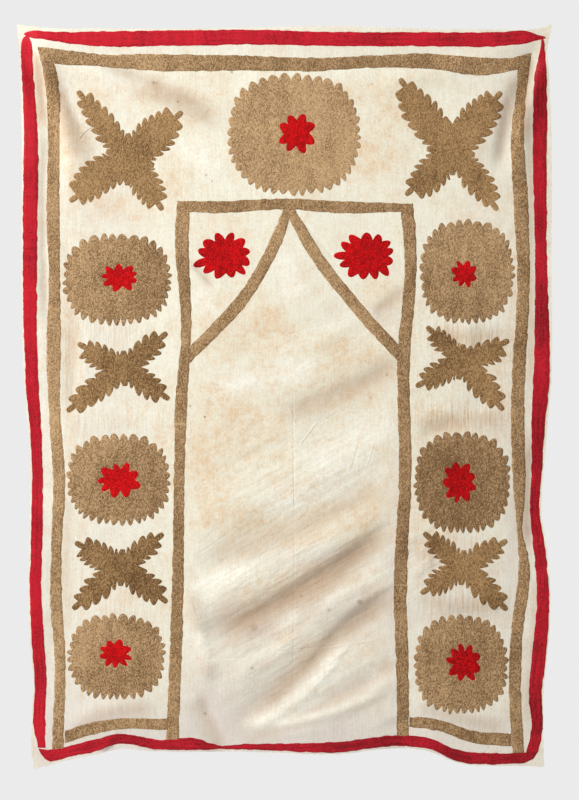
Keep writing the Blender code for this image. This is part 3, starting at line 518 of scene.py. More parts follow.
# Painted shade along the folds, in a warm brown-grey: columns: photo x and y of start, middle and end, half
# width and strength
PAINTED_FOLD_SHADES = (
    (270, 420, 345, 392, 408, 356, 13, 0.55),
    (182, 566, 298, 528, 408, 470, 13, 0.50),
    (200, 637, 300, 590, 400, 521, 13, 1.00),
    (216, 650, 300, 612, 372, 560, 12, 0.35),
    (236, 745, 326, 647, 406, 589, 12, 0.85),
    (226, 748, 334, 702, 408, 652, 8, 0.50),
    (190, 560, 196, 620, 214, 700, 7, 0.35),
    (194, 690, 212, 732, 224, 756, 9, 0.45),
    (372, 314, 390, 302, 408, 284, 6, 0.60),
    (190, 262, 203, 275, 216, 290, 4, 0.50),
    (96, 66, 150, 84, 222, 116, 8, 0.65),
    (120, 84, 176, 106, 226, 128, 7, 0.35),
    (42, 56, 66, 112, 84, 166, 9, 0.75),
    (36, 46, 40, 90, 46, 130, 4, 0.90),
    (535, 52, 526, 96, 524, 150, 6, 0.85),
    (518, 70, 506, 118, 500, 176, 8, 0.55),
    (498, 84, 480, 150, 470, 210, 7, 0.30),
    (44, 120, 43, 220, 46, 340, 3, 0.45),
    (531, 110, 531, 260, 531, 420, 5, 0.55),
    (532, 420, 527, 500, 530, 560, 5, 0.60),
    (534, 560, 534, 640, 527, 740, 5, 0.45),
    (420, 332, 470, 338, 512, 330, 9, 0.45),
    (414, 428, 465, 420, 512, 410, 10, 0.50),
    (412, 600, 465, 604, 512, 600, 9, 0.45),
    (412, 560, 428, 548, 444, 534, 6, 0.50),
    (70, 300, 72, 350, 66, 430, 5, 0.35),
    (70, 470, 66, 560, 68, 640, 5, 0.30),
    (66, 744, 110, 713, 168, 712, 8, 0.35),
    (412, 704, 460, 718, 512, 730, 8, 0.40),
)
# Small brown spots: columns: photo x and y, radius in pixels, strength
SPOTS = (
    (154.0, 83.0, 2.6, 0.60),
    (157.0, 83.5, 2.0, 0.45),
    (178.0, 102.0, 1.6, 0.70),
    (206.0, 175.0, 1.6, 0.50),
    (212.0, 181.0, 1.4, 0.45),
    (232.0, 72.0, 2.2, 0.45),
    (190.0, 406.0, 1.5, 0.60),
    (205.0, 417.0, 1.7, 0.75),
    (387.0, 375.0, 1.5, 0.55),
    (371.0, 398.0, 1.4, 0.50),
    (360.0, 602.0, 3.2, 0.50),
    (329.0, 610.0, 2.6, 0.40),
    (301.0, 596.0, 2.2, 0.35),
    (254.0, 628.0, 5.0, 0.35),
    (252.0, 668.0, 2.4, 0.45),
    (205.0, 714.0, 1.8, 0.45),
    (372.0, 84.0, 1.5, 0.35),
)
# The foot ribbon's lapped joins and the top ribbon's slanting one, as photo x
FOOT_LAP = (98.0, 110.5)
TOP_LAP_UPPER, TOP_LAP_LOWER = 204.0, 209.0
LAP_LENGTH = 9.0
# How far the sides of the ribbon wander, in pixels
RIBBON_UNEVEN = 0.25
# A loose dark thread on the upper left: photo x and y
LOOSE_THREAD = ((80, 139), (82.5, 135.5), (86, 131.5), (89.5, 129), (93, 127))

# Where fine upright gathers show, and where slanting crinkles do, both in the relief and as painted shade in
# the colour: columns as for the patches
GATHER_PATCHES = (
    (470, 335, 50, 14, 1.0),
    (465, 418, 50, 14, 1.0),
    (468, 604, 52, 12, 0.8),
    (440, 560, 26, 26, 0.4),
    (116, 332, 52, 10, 0.7),
    (116, 424, 52, 10, 0.6),
    (118, 612, 50, 9, 0.5),
    (294, 195, 110, 8, 0.4),
    (110, 714, 50, 10, 0.4),
    (470, 722, 50, 12, 0.4),
    (100, 380, 60, 50, 0.35),
    (100, 570, 60, 50, 0.35),
    (466, 370, 60, 50, 0.45),
    (466, 570, 60, 50, 0.45),
    (74, 250, 12, 160, 0.45),
    (176, 170, 24, 60, 0.30),
)
SLANT_PATCHES = (
    (320, 560, 90, 60, 1.0),
    (290, 660, 90, 60, 0.8),
    (340, 450, 70, 50, 0.5),
    (250, 480, 60, 50, 0.5),
    (430, 560, 26, 30, 0.5),
    (330, 350, 80, 40, 0.4),
    (230, 590, 40, 40, 0.4),
)
# How much darker the stitching is painted from the left edge to the right one: painted shade, as the light falls
# off
ACROSS_SHADE_TONE = 0.12
# How much darker it is painted along the folds, as painted shade, and how much lighter on old fold lines
FOLD_SHADE_TONE = 0.35
LINE_TONE = 0.35
# How much darker each stitched piece is than the rest
TONES = {
    "rosette_top": -0.16,
    "rosette_left_upper": 0.12,
    "rosette_left_middle": 0.10,
    "rosette_left_lower": 0.10,
    "rosette_right_upper": 0.02,
    "rosette_right_middle": 0.24,
    "rosette_right_lower": 0.0,
    "cross_top_left": -0.06,
    "cross_top_right": -0.08,
    "cross_left_upper": 0.14,
    "cross_left_lower": 0.22,
    "niche_frame": 0.14,
    "foot_bar_right": 0.22,
    "foot_bar_left": 0.08,
    "centre_left_middle": -0.16,
    "red_rosette_right": -0.08,
    "niche_roof": 0.06,
    "outer_line": 0.08,
}
# How much darker each length of ribbon is than the top one, and how much darker it grows to the right: painted
# shade, as the light falls off downwards and to the right
RIBBON_SHADE_TONES = {"ribbon_left": 0.16, "ribbon_right": 0.14, "ribbon_foot": 0.30}
RIBBON_ACROSS_SHADE = 0.24
# Points of each tooth
TOOTH_STEPS = 9
# How far round a rim is looked for, in metres
RIM_REACH = 0.03
# Teeth by stitching: how uneven their widths are, how much wider the upper ones are, how much shallower the
# ones aside are, roundness (1 is a plain arch, less is squarer and more is pointed), the same for the lowest
# ones, how far they turn from pointing outwards to pointing up or down, and how much deeper they are cut
KHAKI_TEETH = (0.20, 0.28, 0.40, 0.82, 1.15, 0.55, 1.15)
RED_TEETH = (0.22, 0.0, 0.10, 1.25, 1.35, 0.0, 1.30)
RED_LOBES = (0.16, 0.05, 0.05, 0.95, 1.15, 0.0, 1.00)
# How much longer the leftmost petal of each red rosette is, in pixels
LONG_PETAL = 4.5
# How far a leaf's tooth leans forwards, as a share of its depth, and where its peak is along its base
LEAF_LEAN = 0.60
LEAF_PEAK = 0.62
# How deep its notches are cut, as a share of the solid's, and how much of that the first tooth has
LEAF_CUT = 0.92
FIRST_TOOTH = 0.80
# A leaf's oval tip in pixels: how far each place is back from the end, and its half width
LEAF_LOBE = ((10.0, 2.5), (8.2, 2.9), (5.6, 3.0), (3.0, 2.7), (1.0, 1.6))
# Lengths of ribbon that follow a side: columns: name, table, its way, first and last place in the table, seed,
# the pixels over which one end is drawn to a point, and whether that is its start
RIBBON_RUNS = (
    ("ribbon_top_left", TOP_SIDE, "level", 24.0, TOP_LAP_UPPER, 200, 7, True),
    ("ribbon_top_right", TOP_SIDE, "level", 201.0, 545.5, 204, 20, False),
    ("ribbon_left", LEFT_SIDE, "upright", 35.5, 748.0, 208, 9, True),
    ("ribbon_right", RIGHT_SIDE, "upright", 38.5, 752.5, 212, 26, True),
)
# Outer turns of the foot ribbon at its two corners, as photo points
FOOT_CORNER_RIGHT = ((526.5, 752.5), (538.0, 752.0), (533.5, 759.0))
FOOT_CORNER_LEFT = ((45.0, 759.5), (40.5, 754.0), (38.2, 749.0))
# Frayed threads along the hem: how many, their radius in metres, and the photo x from and to
FRAY_COUNT = 260
FRAY_RADIUS = 0.00045
FRAY_FROM, FRAY_TO = 36.0, 541.0
# The loose thread's radius and how far it stands off, in metres
LOOSE_RADIUS = 0.00035
LOOSE_HEIGHT = 0.0009
# Feet of the stitched bars under the side columns: columns: name, photo x from and to, seed
FOOT_BAR_ENDS = (("left", 64.5, 167.5, 130), ("right", 409.5, 511.5, 140))
# The floor, and the lights: place, size in metres, power in watts, colour, and what they all point at
LIGHT_TARGET = (0.0, 0.0, -0.88)
FLOOR_Z = -2.35
FLOOR_RADIUS = 3.0
AMBIENT = (0.972, 0.955, 0.912)
AMBIENT_STRENGTH = 0.44
KEY_PLACE = (-4.3, -3.0, 2.4)
KEY_SIZE = 1.5
KEY_POWER = 387.0
KEY_COLOUR = (0.985, 0.990, 0.980)
FILL_PLACE = (1.6, -3.2, 0.2)
FILL_SIZE = 3.0
FILL_POWER = 8.0
FILL_COLOUR = (0.96, 0.98, 1.0)
BEHIND_PLACE = (0.6, 3.0, 0.6)
BEHIND_POWER = 40.0

# Colours, sRGB
CREAM = (0.946, 0.938, 0.880)
HIGHLIGHT_CREAM = (0.990, 0.985, 0.948)
PEACH = (0.900, 0.800, 0.672)
DULL_SHADE = (0.850, 0.812, 0.800)
FOLD_SHADE = (0.762, 0.668, 0.576)
SPOT_BROWN = (0.62, 0.44, 0.30)
KHAKI = (0.830, 0.690, 0.525)
KHAKI_DARK = (0.450, 0.335, 0.215)
BROWN = (0.750, 0.602, 0.425)
BROWN_DARK = (0.380, 0.270, 0.155)
RED = (0.915, 0.060, 0.085)
RED_DARK = (0.450, 0.010, 0.025)
RIBBON_RED = (0.800, 0.090, 0.170)
RIBBON_DARK = (0.430, 0.000, 0.055)
THREAD_BROWN = (0.30, 0.22, 0.15)
PALE = (0.922, 0.922, 0.922)
# One row of chain stitch, one loop of it, one rib of the ribbon and one thread of the weave, in metres
ROW_PITCH = 0.0026
LOOP_LENGTH = 0.0042
RIB_PITCH = 0.0010
WEAVE_PITCH = 0.0011

# The photograph's frame and the camera
IMAGE_WIDTH, IMAGE_HEIGHT = 579, 800
CAMERA_DISTANCE = 6.0
SENSOR = 36.0


def read_rows(rows, at):
    """Reads a table at places of its first column, with a smooth curve through its rows."""
    table = np.array(rows, dtype=float)
    keys = table[:, 0]
    at = np.clip(np.asarray(at, dtype=float), keys[0], keys[-1])
    slopes = np.gradient(table[:, 1:], keys, axis=0)
    row = np.clip(np.searchsorted(keys, at) - 1, 0, len(keys) - 2)
    span = (keys[row + 1] - keys[row])[..., None]
    t = (at - keys[row])[..., None] / span
    return (
        table[row, 1:] * (1 + 2 * t) * (1 - t) ** 2
        + table[row + 1, 1:] * t * t * (3 - 2 * t)
        + slopes[row] * span * t * (1 - t) ** 2
        - slopes[row + 1] * span * t * t * (1 - t)
    )


def fold_path(start, middle, end):
    """Points along a bent fold line through its three places."""
    t = np.linspace(0, 1, FOLD_STEPS + 1)[:, None]
    bend = 2 * middle - (start + end) / 2
    return (1 - t) ** 2 * start + 2 * t * (1 - t) * bend + t * t * end


def fold_strength(points, path, above, below=None):
    """How much of one fold's lift reaches each point: full on its line, fading aside and at its ends."""
    nearest = np.full(len(points), np.inf)
    place = np.zeros(len(points))
    half_width = np.full(len(points), float(above))
    below = above if below is None else below
    for k in range(len(path) - 1):
        step = path[k + 1] - path[k]
        t = np.clip((points - path[k]) @ step / (step @ step), 0, 1)
        away = np.linalg.norm(points - path[k] - t[:, None] * step, axis=1)
        closer = away < nearest
        side = step[0] * (points[:, 1] - path[k][1]) - step[1] * (points[:, 0] - path[k][0])
        half_width = np.where(closer, np.where(side < 0, above, below), half_width)
        nearest = np.where(closer, away, nearest)
        place = np.where(closer, (k + t) / (len(path) - 1), place)
    fade = np.clip(np.minimum(place, 1 - place) / FOLD_FADE, 0, 1)
    return np.exp(-((nearest / half_width) ** 2)) * fade * fade * (3 - 2 * fade)


def raw_lift(points):
    """Millimetres by which the cloth stands towards the viewer at photo points."""
    x = (points[:, 0] - PHOTO_MIDDLE_X) * 2 / PHOTO_CLOTH_WIDTH
    y = (points[:, 1] - PHOTO_TOP_Y) / PHOTO_CLOTH_HEIGHT
    lift = BELLY * np.sin(math.pi * y) * (1 - x * x) + FOOT_LEAN * y
    for across, down, start, height in UNEVEN_WAVES:
        lift += height * np.sin(across * x + down * y + start)
    rows = [(*row[1:8], row[7], row[8]) for row in FOLDS + FINE_FOLDS]
    for x1, y1, x2, y2, x3, y3, above, below, height in [*rows, *CRISP_FOLDS]:
        path = fold_path(np.array((x1, y1)), np.array((x2, y2)), np.array((x3, y3)))
        reach = 3 * max(above, below)
        low, high = path.min(axis=0) - reach, path.max(axis=0) + reach
        near = np.flatnonzero(((points > low) & (points < high)).all(axis=1))
        if len(near):
            lift[near] += height * fold_strength(points[near], path, above, below)
    return lift


def lift_of(points):
    """Metres of lift, with none at the origin."""
    return (raw_lift(points) - raw_lift(np.array([[PHOTO_MIDDLE_X, PHOTO_TOP_Y]]))[0]) * MILLIMETRE


def to_metres(points):
    """Photo points as x and z in metres from the middle of the top edge."""
    points = np.asarray(points, dtype=float)
    return np.stack([(points[:, 0] - PHOTO_MIDDLE_X) * PIXEL, (PHOTO_TOP_Y - points[:, 1]) * PIXEL], axis=1)


def to_photo(places):
    """The other way round: metres as photo points."""
    return np.stack([places[:, 0] / PIXEL + PHOTO_MIDDLE_X, PHOTO_TOP_Y - places[:, 1] / PIXEL], axis=1)


def linear(colour):
    """An sRGB colour as a linear one with alpha."""
    return (*(((c + 0.055) / 1.055) ** 2.4 if c > 0.04045 else c / 12.92 for c in colour), 1.0)


def put(tree, kind, values=(), **settings):
    """Adds a shader node, sets its options and links or sets its inputs in order."""
    node = tree.nodes.new(kind)
    for key, value in settings.items():
        setattr(node, key, value)
    for key, value in dict(values).items():
        if isinstance(value, bpy.types.NodeSocket):
            tree.links.new(value, node.inputs[key])
        else:
            node.inputs[key].default_value = value
    return node


def sums(tree, operation, first, second=0.0, third=0.0, clamp=False):
    """One sum on numbers."""
    values = {0: first, 1: second, 2: third}
    return put(tree, "ShaderNodeMath", values, operation=operation, use_clamp=clamp).outputs[0]


def blend(tree, factor, first, second, kind="MIX"):
    """Mixes two colours."""
    values = {0: factor, 6: first, 7: second}
    return put(tree, "ShaderNodeMix", values, data_type="RGBA", blend_type=kind, clamp_factor=True).outputs[2]


def noise(tree, place, scale, detail=3.0, roughness=0.55):
    """A soft random pattern from 0 to 1."""
    values = {"Vector": place, "Scale": scale, "Detail": detail, "Roughness": roughness}
    return put(tree, "ShaderNodeTexNoise", values).outputs[0]


def ramp(tree, value, low, high, to_low=0.0, to_high=1.0):
    """Turns a value's run from low to high into a soft run between two others."""
    values = {0: value, 1: low, 2: high, 3: to_low, 4: to_high}
    return put(tree, "ShaderNodeMapRange", values, interpolation_type="SMOOTHSTEP").outputs[0]


def stretched(tree, place, scales, turn=0.0):
    """The place scaled along each axis, after a turn in the cloth's plane."""
    if turn:
        values = {"Vector": place, "Axis": (0.0, 1.0, 0.0), "Angle": turn}
        place = put(tree, "ShaderNodeVectorRotate", values).outputs[0]
    return put(tree, "ShaderNodeVectorMath", {0: place, 1: scales}, operation="MULTIPLY").outputs[0]


def new_material(name, roughness, sheen):
    """A material with its node tree and its shader."""
    material = bpy.data.materials.new(name)
    material.use_nodes = True
    tree = material.node_tree
    shader = tree.nodes["Principled BSDF"]
    shader.inputs["Roughness"].default_value = roughness
    shader.inputs["Sheen Weight"].default_value = sheen
    shader.inputs["Sheen Roughness"].default_value = 0.5
    shader.inputs["Specular IOR Level"].default_value = 0.25
    return material, tree, shader


def attribute(tree, name):
    return put(tree, "ShaderNodeAttribute", attribute_name=name)


def set_bump(tree, shader, height, strength):
    """Gives a material its relief, from a height in metres."""
    bump = put(tree, "ShaderNodeBump", {"Strength": strength, "Distance": 1.0, "Height": height})
    tree.links.new(bump.outputs[0], shader.inputs["Normal"])


def layered(tree, tone, layers):
    """A tone with several patterns added: columns: pattern, its low and high, what those add."""
    for pattern, low, high, to_low, to_high in layers:
        tone = sums(tree, "ADD", tone, ramp(tree, pattern, low, high, to_low, to_high))
    return tone


def cotton_material():
    """Old plain cotton: cream with warm and dull patches, brown spots, fine weave, crinkles and creases; painted
    highlights on the ridges, and painted shade in the folds, gathers and dull patches.
    """
    material, tree, shader = new_material("cotton", 0.9, 0.15)
    place = put(tree, "ShaderNodeTexCoord").outputs["Object"]
    broad = noise(tree, place, 12.0, 4.0, 0.6)
    small = noise(tree, place, 34.0, 5.0, 0.65)
    slubs = noise(tree, stretched(tree, place, (260.0, 1.0, 22.0)), 1.0, 2.0)
    warmth = sums(tree, "MULTIPLY_ADD", ramp(tree, small, 0.36, 0.66), 0.55, 0.55)
    warmth = sums(tree, "MULTIPLY", attribute(tree, "warm").outputs["Fac"], warmth)
    warmth = sums(tree, "ADD", warmth, ramp(tree, broad, 0.44, 0.66, 0.0, 0.30))
    warmth = sums(tree, "ADD", warmth, ramp(tree, small, 0.44, 0.68, 0.0, 0.24))
    # The gathers and crinkles are also painted into the colour as warm shade.
    upright = noise(tree, stretched(tree, place, (60.0, 1.0, 6.0)), 1.0, 3.0)
    upright = ramp(tree, upright, 0.46, 0.68, 0.0, 0.75)
    warmth = sums(tree, "MULTIPLY_ADD", attribute(tree, "gather").outputs["Fac"], upright, warmth)
    slanting = noise(tree, stretched(tree, place, (6.0, 1.0, 40.0), math.radians(30)), 1.0, 3.0)
    slanting = ramp(tree, slanting, 0.46, 0.68, 0.0, 0.50)
    warmth = sums(tree, "MULTIPLY_ADD", attribute(tree, "slant").outputs["Fac"], slanting, warmth)
    grain = noise(tree, place, 150.0, 4.0, 0.7)
    warmth = sums(tree, "ADD", warmth, ramp(tree, grain, 0.40, 0.68, -0.06, 0.30), clamp=True)
    veins = put(tree, "ShaderNodeTexVoronoi", {"Vector": crumpled(tree, place, small), "Scale": 58.0},
                feature="DISTANCE_TO_EDGE").outputs["Distance"]
    warmth = sums(tree, "MULTIPLY", warmth, ramp(tree, veins, 0.0, 0.16, 0.62, 1.0))
    # Painted highlight: the fold ridges turn a lighter cream.
    highlit_colour = blend(tree, attribute(tree, "bright").outputs["Fac"], linear(CREAM), linear(HIGHLIGHT_CREAM))
    colour = blend(tree, warmth, highlit_colour, linear(PEACH))
    # Painted shade: greyer, duller cream in the dull patches.
    dullness = sums(tree, "MULTIPLY_ADD", broad, 0.7, 0.35)
    dullness = sums(tree, "MULTIPLY", attribute(tree, "dull").outputs["Fac"], dullness)
    colour = blend(tree, dullness, colour, linear(DULL_SHADE))
    # Painted shade along the folds, in a warm brown-grey.
    painted_shade_amount = sums(tree, "MULTIPLY_ADD", small, 0.6, 0.70)
    painted_shade_amount = sums(tree, "MULTIPLY", attribute(tree, "painted_shade").outputs["Fac"], painted_shade_amount)
    colour = blend(tree, painted_shade_amount, colour, linear(FOLD_SHADE))
    shade = ramp(tree, slubs, 0.25, 0.75, 0.940, 1.03)
    thread = noise(tree, stretched(tree, place, (520.0, 1.0, 170.0)), 1.0, 2.0, 0.7)
    shade = sums(tree, "MULTIPLY", shade, ramp(tree, thread, 0.30, 0.70, 0.925, 1.04))
    grey = put(tree, "ShaderNodeCombineXYZ", {0: shade, 1: shade, 2: shade}).outputs[0]
    colour = blend(tree, 1.0, colour, grey, "MULTIPLY")
    spots = spot_mask(tree, place, small)
    colour = blend(tree, spots, colour, linear(SPOT_BROWN))
    tree.links.new(colour, shader.inputs["Base Color"])
    set_bump(tree, shader, cotton_relief(tree, place), 1.0)
    return material


def crumpled(tree, place, small):
    """The place shifted by a noise, so that a pattern on it runs unevenly."""
    shift = put(tree, "ShaderNodeCombineXYZ", {0: small, 2: noise(tree, place, 47.0)}).outputs[0]
    return put(tree, "ShaderNodeVectorMath", {0: shift, 1: (0.05, 0.0, 0.05), 2: place},
               operation="MULTIPLY_ADD").outputs[0]


def spot_mask(tree, place, small):
    """How brown each small spot makes the ground, with ragged edges."""
    total = None
    flat = stretched(tree, place, (1.0, 0.0, 1.0))
    for x, y, radius, strength in SPOTS:
        (spot_x, spot_z), = to_metres([(x, y)])
        away = put(tree, "ShaderNodeVectorMath", {0: flat, 1: (spot_x, 0.0, spot_z)}, operation="DISTANCE")
        ragged = sums(tree, "MULTIPLY_ADD", small, radius * PIXEL * 1.2, away.outputs["Value"])
        mask = ramp(tree, ragged, radius * PIXEL * 0.8, radius * PIXEL * 1.8, strength, 0.0)
        total = mask if total is None else sums(tree, "MAXIMUM", total, mask)
    return total


def cotton_relief(tree, place):
    """The height in metres of the ground's weave, its crinkles and its sharp creases."""
    across = put(tree, "ShaderNodeSeparateXYZ", {0: place})
    weave = None
    for axis in ("X", "Z"):
        turn = sums(tree, "MULTIPLY", across.outputs[axis], 2 * math.pi / WEAVE_PITCH)
        wave = sums(tree, "SINE", turn)
        weave = wave if weave is None else sums(tree, "MULTIPLY", weave, wave)
    height = sums(tree, "MULTIPLY", weave, 0.00004)
    slub = noise(tree, stretched(tree, place, (420.0, 1.0, 60.0)), 1.0, 2.0)
    height = sums(tree, "MULTIPLY_ADD", slub, 0.00010, height)
    gathers = noise(tree, stretched(tree, place, (115.0, 1.0, 13.0)), 1.0, 3.0)
    gather = sums(tree, "MULTIPLY", attribute(tree, "gather").outputs["Fac"], gathers)
    height = sums(tree, "MULTIPLY_ADD", gather, 0.0032, height)
    slanting = noise(tree, stretched(tree, place, (9.0, 1.0, 46.0), math.radians(30)), 1.0, 3.0)
    crinkle = sums(tree, "MULTIPLY", attribute(tree, "slant").outputs["Fac"], slanting)
    height = sums(tree, "MULTIPLY_ADD", crinkle, 0.0050, height)
    crumple = noise(tree, place, 22.0, 4.0, 0.5)
    height = sums(tree, "MULTIPLY_ADD", crumple, 0.0018, height)
    for k, (_, _, _, _, _, width, depth) in enumerate(CREASES):
        crease = put(tree, "ShaderNodeSeparateXYZ", {0: attribute(tree, f"crease_{k}").outputs["Vector"]})
        away = sums(tree, "ABSOLUTE", crease.outputs["X"])
        line = ramp(tree, away, 0.0, width * MILLIMETRE * 1.6, -depth * MILLIMETRE, 0.0)
        height = sums(tree, "MULTIPLY_ADD", line, crease.outputs["Y"], height)
    return height


def stitch_material(name, colour, dark):
    """Rows of chain stitch that run down the cloth, each loop a little lighter or darker, with painted shade
    between the loops and rows.
    """
    material, tree, shader = new_material(name, 0.85, 0.03)
    shader.inputs["Specular IOR Level"].default_value = 0.12
    place = put(tree, "ShaderNodeTexCoord").outputs["Object"]
    ways = put(tree, "ShaderNodeSeparateXYZ", {0: place})
    wander = noise(tree, place, 60.0, 2.0)
    row = sums(tree, "DIVIDE", ways.outputs["X"], ROW_PITCH)
    row = sums(tree, "MULTIPLY_ADD", wander, 2.2, row)
    row_number = sums(tree, "FLOOR", row)
    start = put(tree, "ShaderNodeTexWhiteNoise", {"W": row_number}, noise_dimensions="1D").outputs["Value"]
    loop = sums(tree, "ADD", sums(tree, "DIVIDE", ways.outputs["Z"], LOOP_LENGTH), start)
    loop_number = sums(tree, "FLOOR", loop)
    pair = put(tree, "ShaderNodeCombineXYZ", {0: row_number, 1: loop_number}).outputs[0]
    each = put(tree, "ShaderNodeTexWhiteNoise", {"Vector": pair}, noise_dimensions="2D").outputs["Value"]
    across = sums(tree, "MULTIPLY_ADD", sums(tree, "FRACT", row), 2.0, -1.0)
    across = sums(tree, "SUBTRACT", 1.0, sums(tree, "MULTIPLY", across, across))
    along = sums(tree, "MULTIPLY_ADD", sums(tree, "FRACT", loop), 2.0, -1.0)
    along = sums(tree, "SUBTRACT", 1.0, sums(tree, "MULTIPLY", along, along))
    loops = sums(tree, "MULTIPLY", sums(tree, "SQRT", across), sums(tree, "MULTIPLY_ADD", along, 0.45, 0.55))
    fibre = noise(tree, place, 900.0, 2.0)
    fleck = noise(tree, stretched(tree, place, (560.0, 1.0, 300.0), math.radians(12)), 1.0, 1.0, 0.6)
    drape = noise(tree, stretched(tree, place, (34.0, 1.0, 9.0)), 1.0, 2.0)
    broad = noise(tree, place, 26.0, 4.0, 0.6)
    wide = noise(tree, place, 5.0, 2.0)
    tone = layered(tree, sums(tree, "MULTIPLY_ADD", each, 0.56, -0.28), (
        (fleck, 0.34, 0.66, -0.28, 0.28),
        (broad, 0.28, 0.72, -0.05, 0.08),
        (drape, 0.30, 0.70, -0.08, 0.09),
        (wide, 0.30, 0.70, -0.08, 0.16),
    ))
    # The tone attribute holds painted shade, darker to the right and along the folds, with each piece's own tone.
    tone = sums(tree, "ADD", tone, attribute(tree, "tone").outputs["Fac"])
    # Painted shade: darker between the loops and rows.
    tone = sums(tree, "MULTIPLY_ADD", loops, -0.40, sums(tree, "ADD", tone, 0.72), clamp=True)
    result = blend(tree, tone, linear(colour), linear(dark))
    tree.links.new(result, shader.inputs["Base Color"])
    height = sums(tree, "MULTIPLY", loops, 0.0007)
    set_bump(tree, shader, sums(tree, "MULTIPLY_ADD", fibre, 0.00015, height), 0.8)
    return material


def ribbon_material():
    """Ribbon with fine lengthwise ribs, a soft sheen and slow changes of tone."""
    material, tree, shader = new_material("ribbon", 0.55, 0.03)
    shader.inputs["Specular IOR Level"].default_value = 0.2
    place = put(tree, "ShaderNodeTexCoord").outputs["Object"]
    ways = put(tree, "ShaderNodeSeparateXYZ", {0: attribute(tree, "stitch").outputs["Vector"]})
    rib = sums(tree, "SINE", sums(tree, "MULTIPLY", ways.outputs["Y"], 2 * math.pi / RIB_PITCH))
    broad = noise(tree, place, 7.0, 3.0)
    small = noise(tree, place, 60.0, 3.0)
    # Streaks of lighter and darker red along the ribbon.
    lengthwise_streaks = noise(tree, stretched(tree, attribute(tree, "stitch").outputs["Vector"], (9.0, 300.0, 1.0)), 1.0, 2.0)
    thread = noise(tree, place, 330.0, 2.0, 0.7)
    tone = layered(tree, ramp(tree, broad, 0.32, 0.68, -0.08, 0.32), (
        (lengthwise_streaks, 0.30, 0.70, -0.18, 0.26),
        (thread, 0.30, 0.70, -0.34, 0.36),
    ))
    tone = sums(tree, "MULTIPLY_ADD", small, 0.24, tone)
    # The tone attribute holds painted shade, darker down the cloth and to the right.
    tone = sums(tree, "ADD", tone, attribute(tree, "tone").outputs["Fac"])
    tone = sums(tree, "MULTIPLY_ADD", rib, -0.05, sums(tree, "SUBTRACT", tone, 0.08), clamp=True)
    tree.links.new(blend(tree, tone, linear(RIBBON_RED), linear(RIBBON_DARK)), shader.inputs["Base Color"])
    height = sums(tree, "MULTIPLY", rib, 0.00005)
    set_bump(tree, shader, sums(tree, "MULTIPLY_ADD", small, 0.0008, height), 0.8)
    return material


def plain_material(name, colour, roughness=0.8):
    """Thread or floor: one colour with a slight variation."""
    material, tree, shader = new_material(name, roughness, 0.0)
    place = put(tree, "ShaderNodeTexCoord").outputs["Object"]
    tone = ramp(tree, noise(tree, place, 40.0), 0.3, 0.7, 0.0, 0.25)
    darker = tuple(c * 0.85 for c in colour)
    tree.links.new(blend(tree, tone, linear(colour), linear(darker)), shader.inputs["Base Color"])
    return material


def make_piece(name, corners, faces, material, attributes=()):
    """A smooth-shaded mesh object with its material, and named numbers or vectors on its points."""
    data = bpy.data.meshes.new(name)
    data.from_pydata([tuple(corner) for corner in corners], [], faces)
    for key, values in dict(attributes).items():
        values = np.asarray(values, dtype=np.float32)
        kind = ("FLOAT", "value") if values.ndim == 1 else ("FLOAT_VECTOR", "vector")
        data.attributes.new(key, kind[0], "POINT").data.foreach_set(kind[1], values.ravel())
    data.shade_smooth()
    data.set_sharp_from_angle(angle=math.radians(55))
    data.materials.append(material)
    piece = bpy.data.objects.new(name, data)
    bpy.context.collection.objects.link(piece)
    return piece


def declare(piece, slot, *nodes):
    """Says what a piece rides on and which solids it stands for; its slot, the finish, is not used."""
    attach(piece, "root")
    if nodes:
        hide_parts(*nodes)
    return piece


def close_sheet(places, front, back, triangles):
    """Corners and faces of a closed sheet between two faces over the same places."""
    count = len(places)
    corners = [(x, -f, z) for (x, z), f in zip(places, front)]
    corners += [(x, -b, z) for (x, z), b in zip(places, back)]
    triangles = [tuple(int(k) for k in t) for t in triangles]
    directed = {(a, b) for t in triangles for a, b in zip(t, t[1:] + t[:1])}
    faces = triangles + [(c + count, b + count, a + count) for a, b, c in triangles]
    faces += [(b, a, a + count, b + count) for a, b in directed if (b, a) not in directed]
    return corners, faces


def patches(points, rows):
    """How strongly a table of soft round patches reaches each photo point."""
    total = np.zeros(len(points))
    for x, y, across, down, strength in rows:
        away = ((points[:, 0] - x) / across) ** 2 + ((points[:, 1] - y) / down) ** 2
        total += strength * np.exp(-away)
    return np.clip(total, 0, 1)


def streaks(points, rows):
    """How strongly a table of soft bent streaks reaches each photo point."""
    total = np.zeros(len(points))
    for x1, y1, x2, y2, x3, y3, half_width, strength in rows:
        path = fold_path(np.array((x1, y1)), np.array((x2, y2)), np.array((x3, y3)))
        total += strength * fold_strength(points, path, half_width)
    return np.clip(total, 0, 1)


def crease_values(points, row):
    """Signed metres from a crease, and how far it has faded, at each photo point."""
    _, x1, y1, x2, y2, _, _ = row
    start, end = np.array((x1, y1)), np.array((x2, y2))
    length = np.linalg.norm(end - start)
    along = (end - start) / length
    share = (points - start) @ along / length
    away = (points - start) @ np.array((-along[1], along[0])) * PIXEL
    fade = np.clip(np.minimum(share, 1 - share) / 0.15, 0, 1)
    return np.stack([away, fade, np.zeros(len(points))], axis=1)


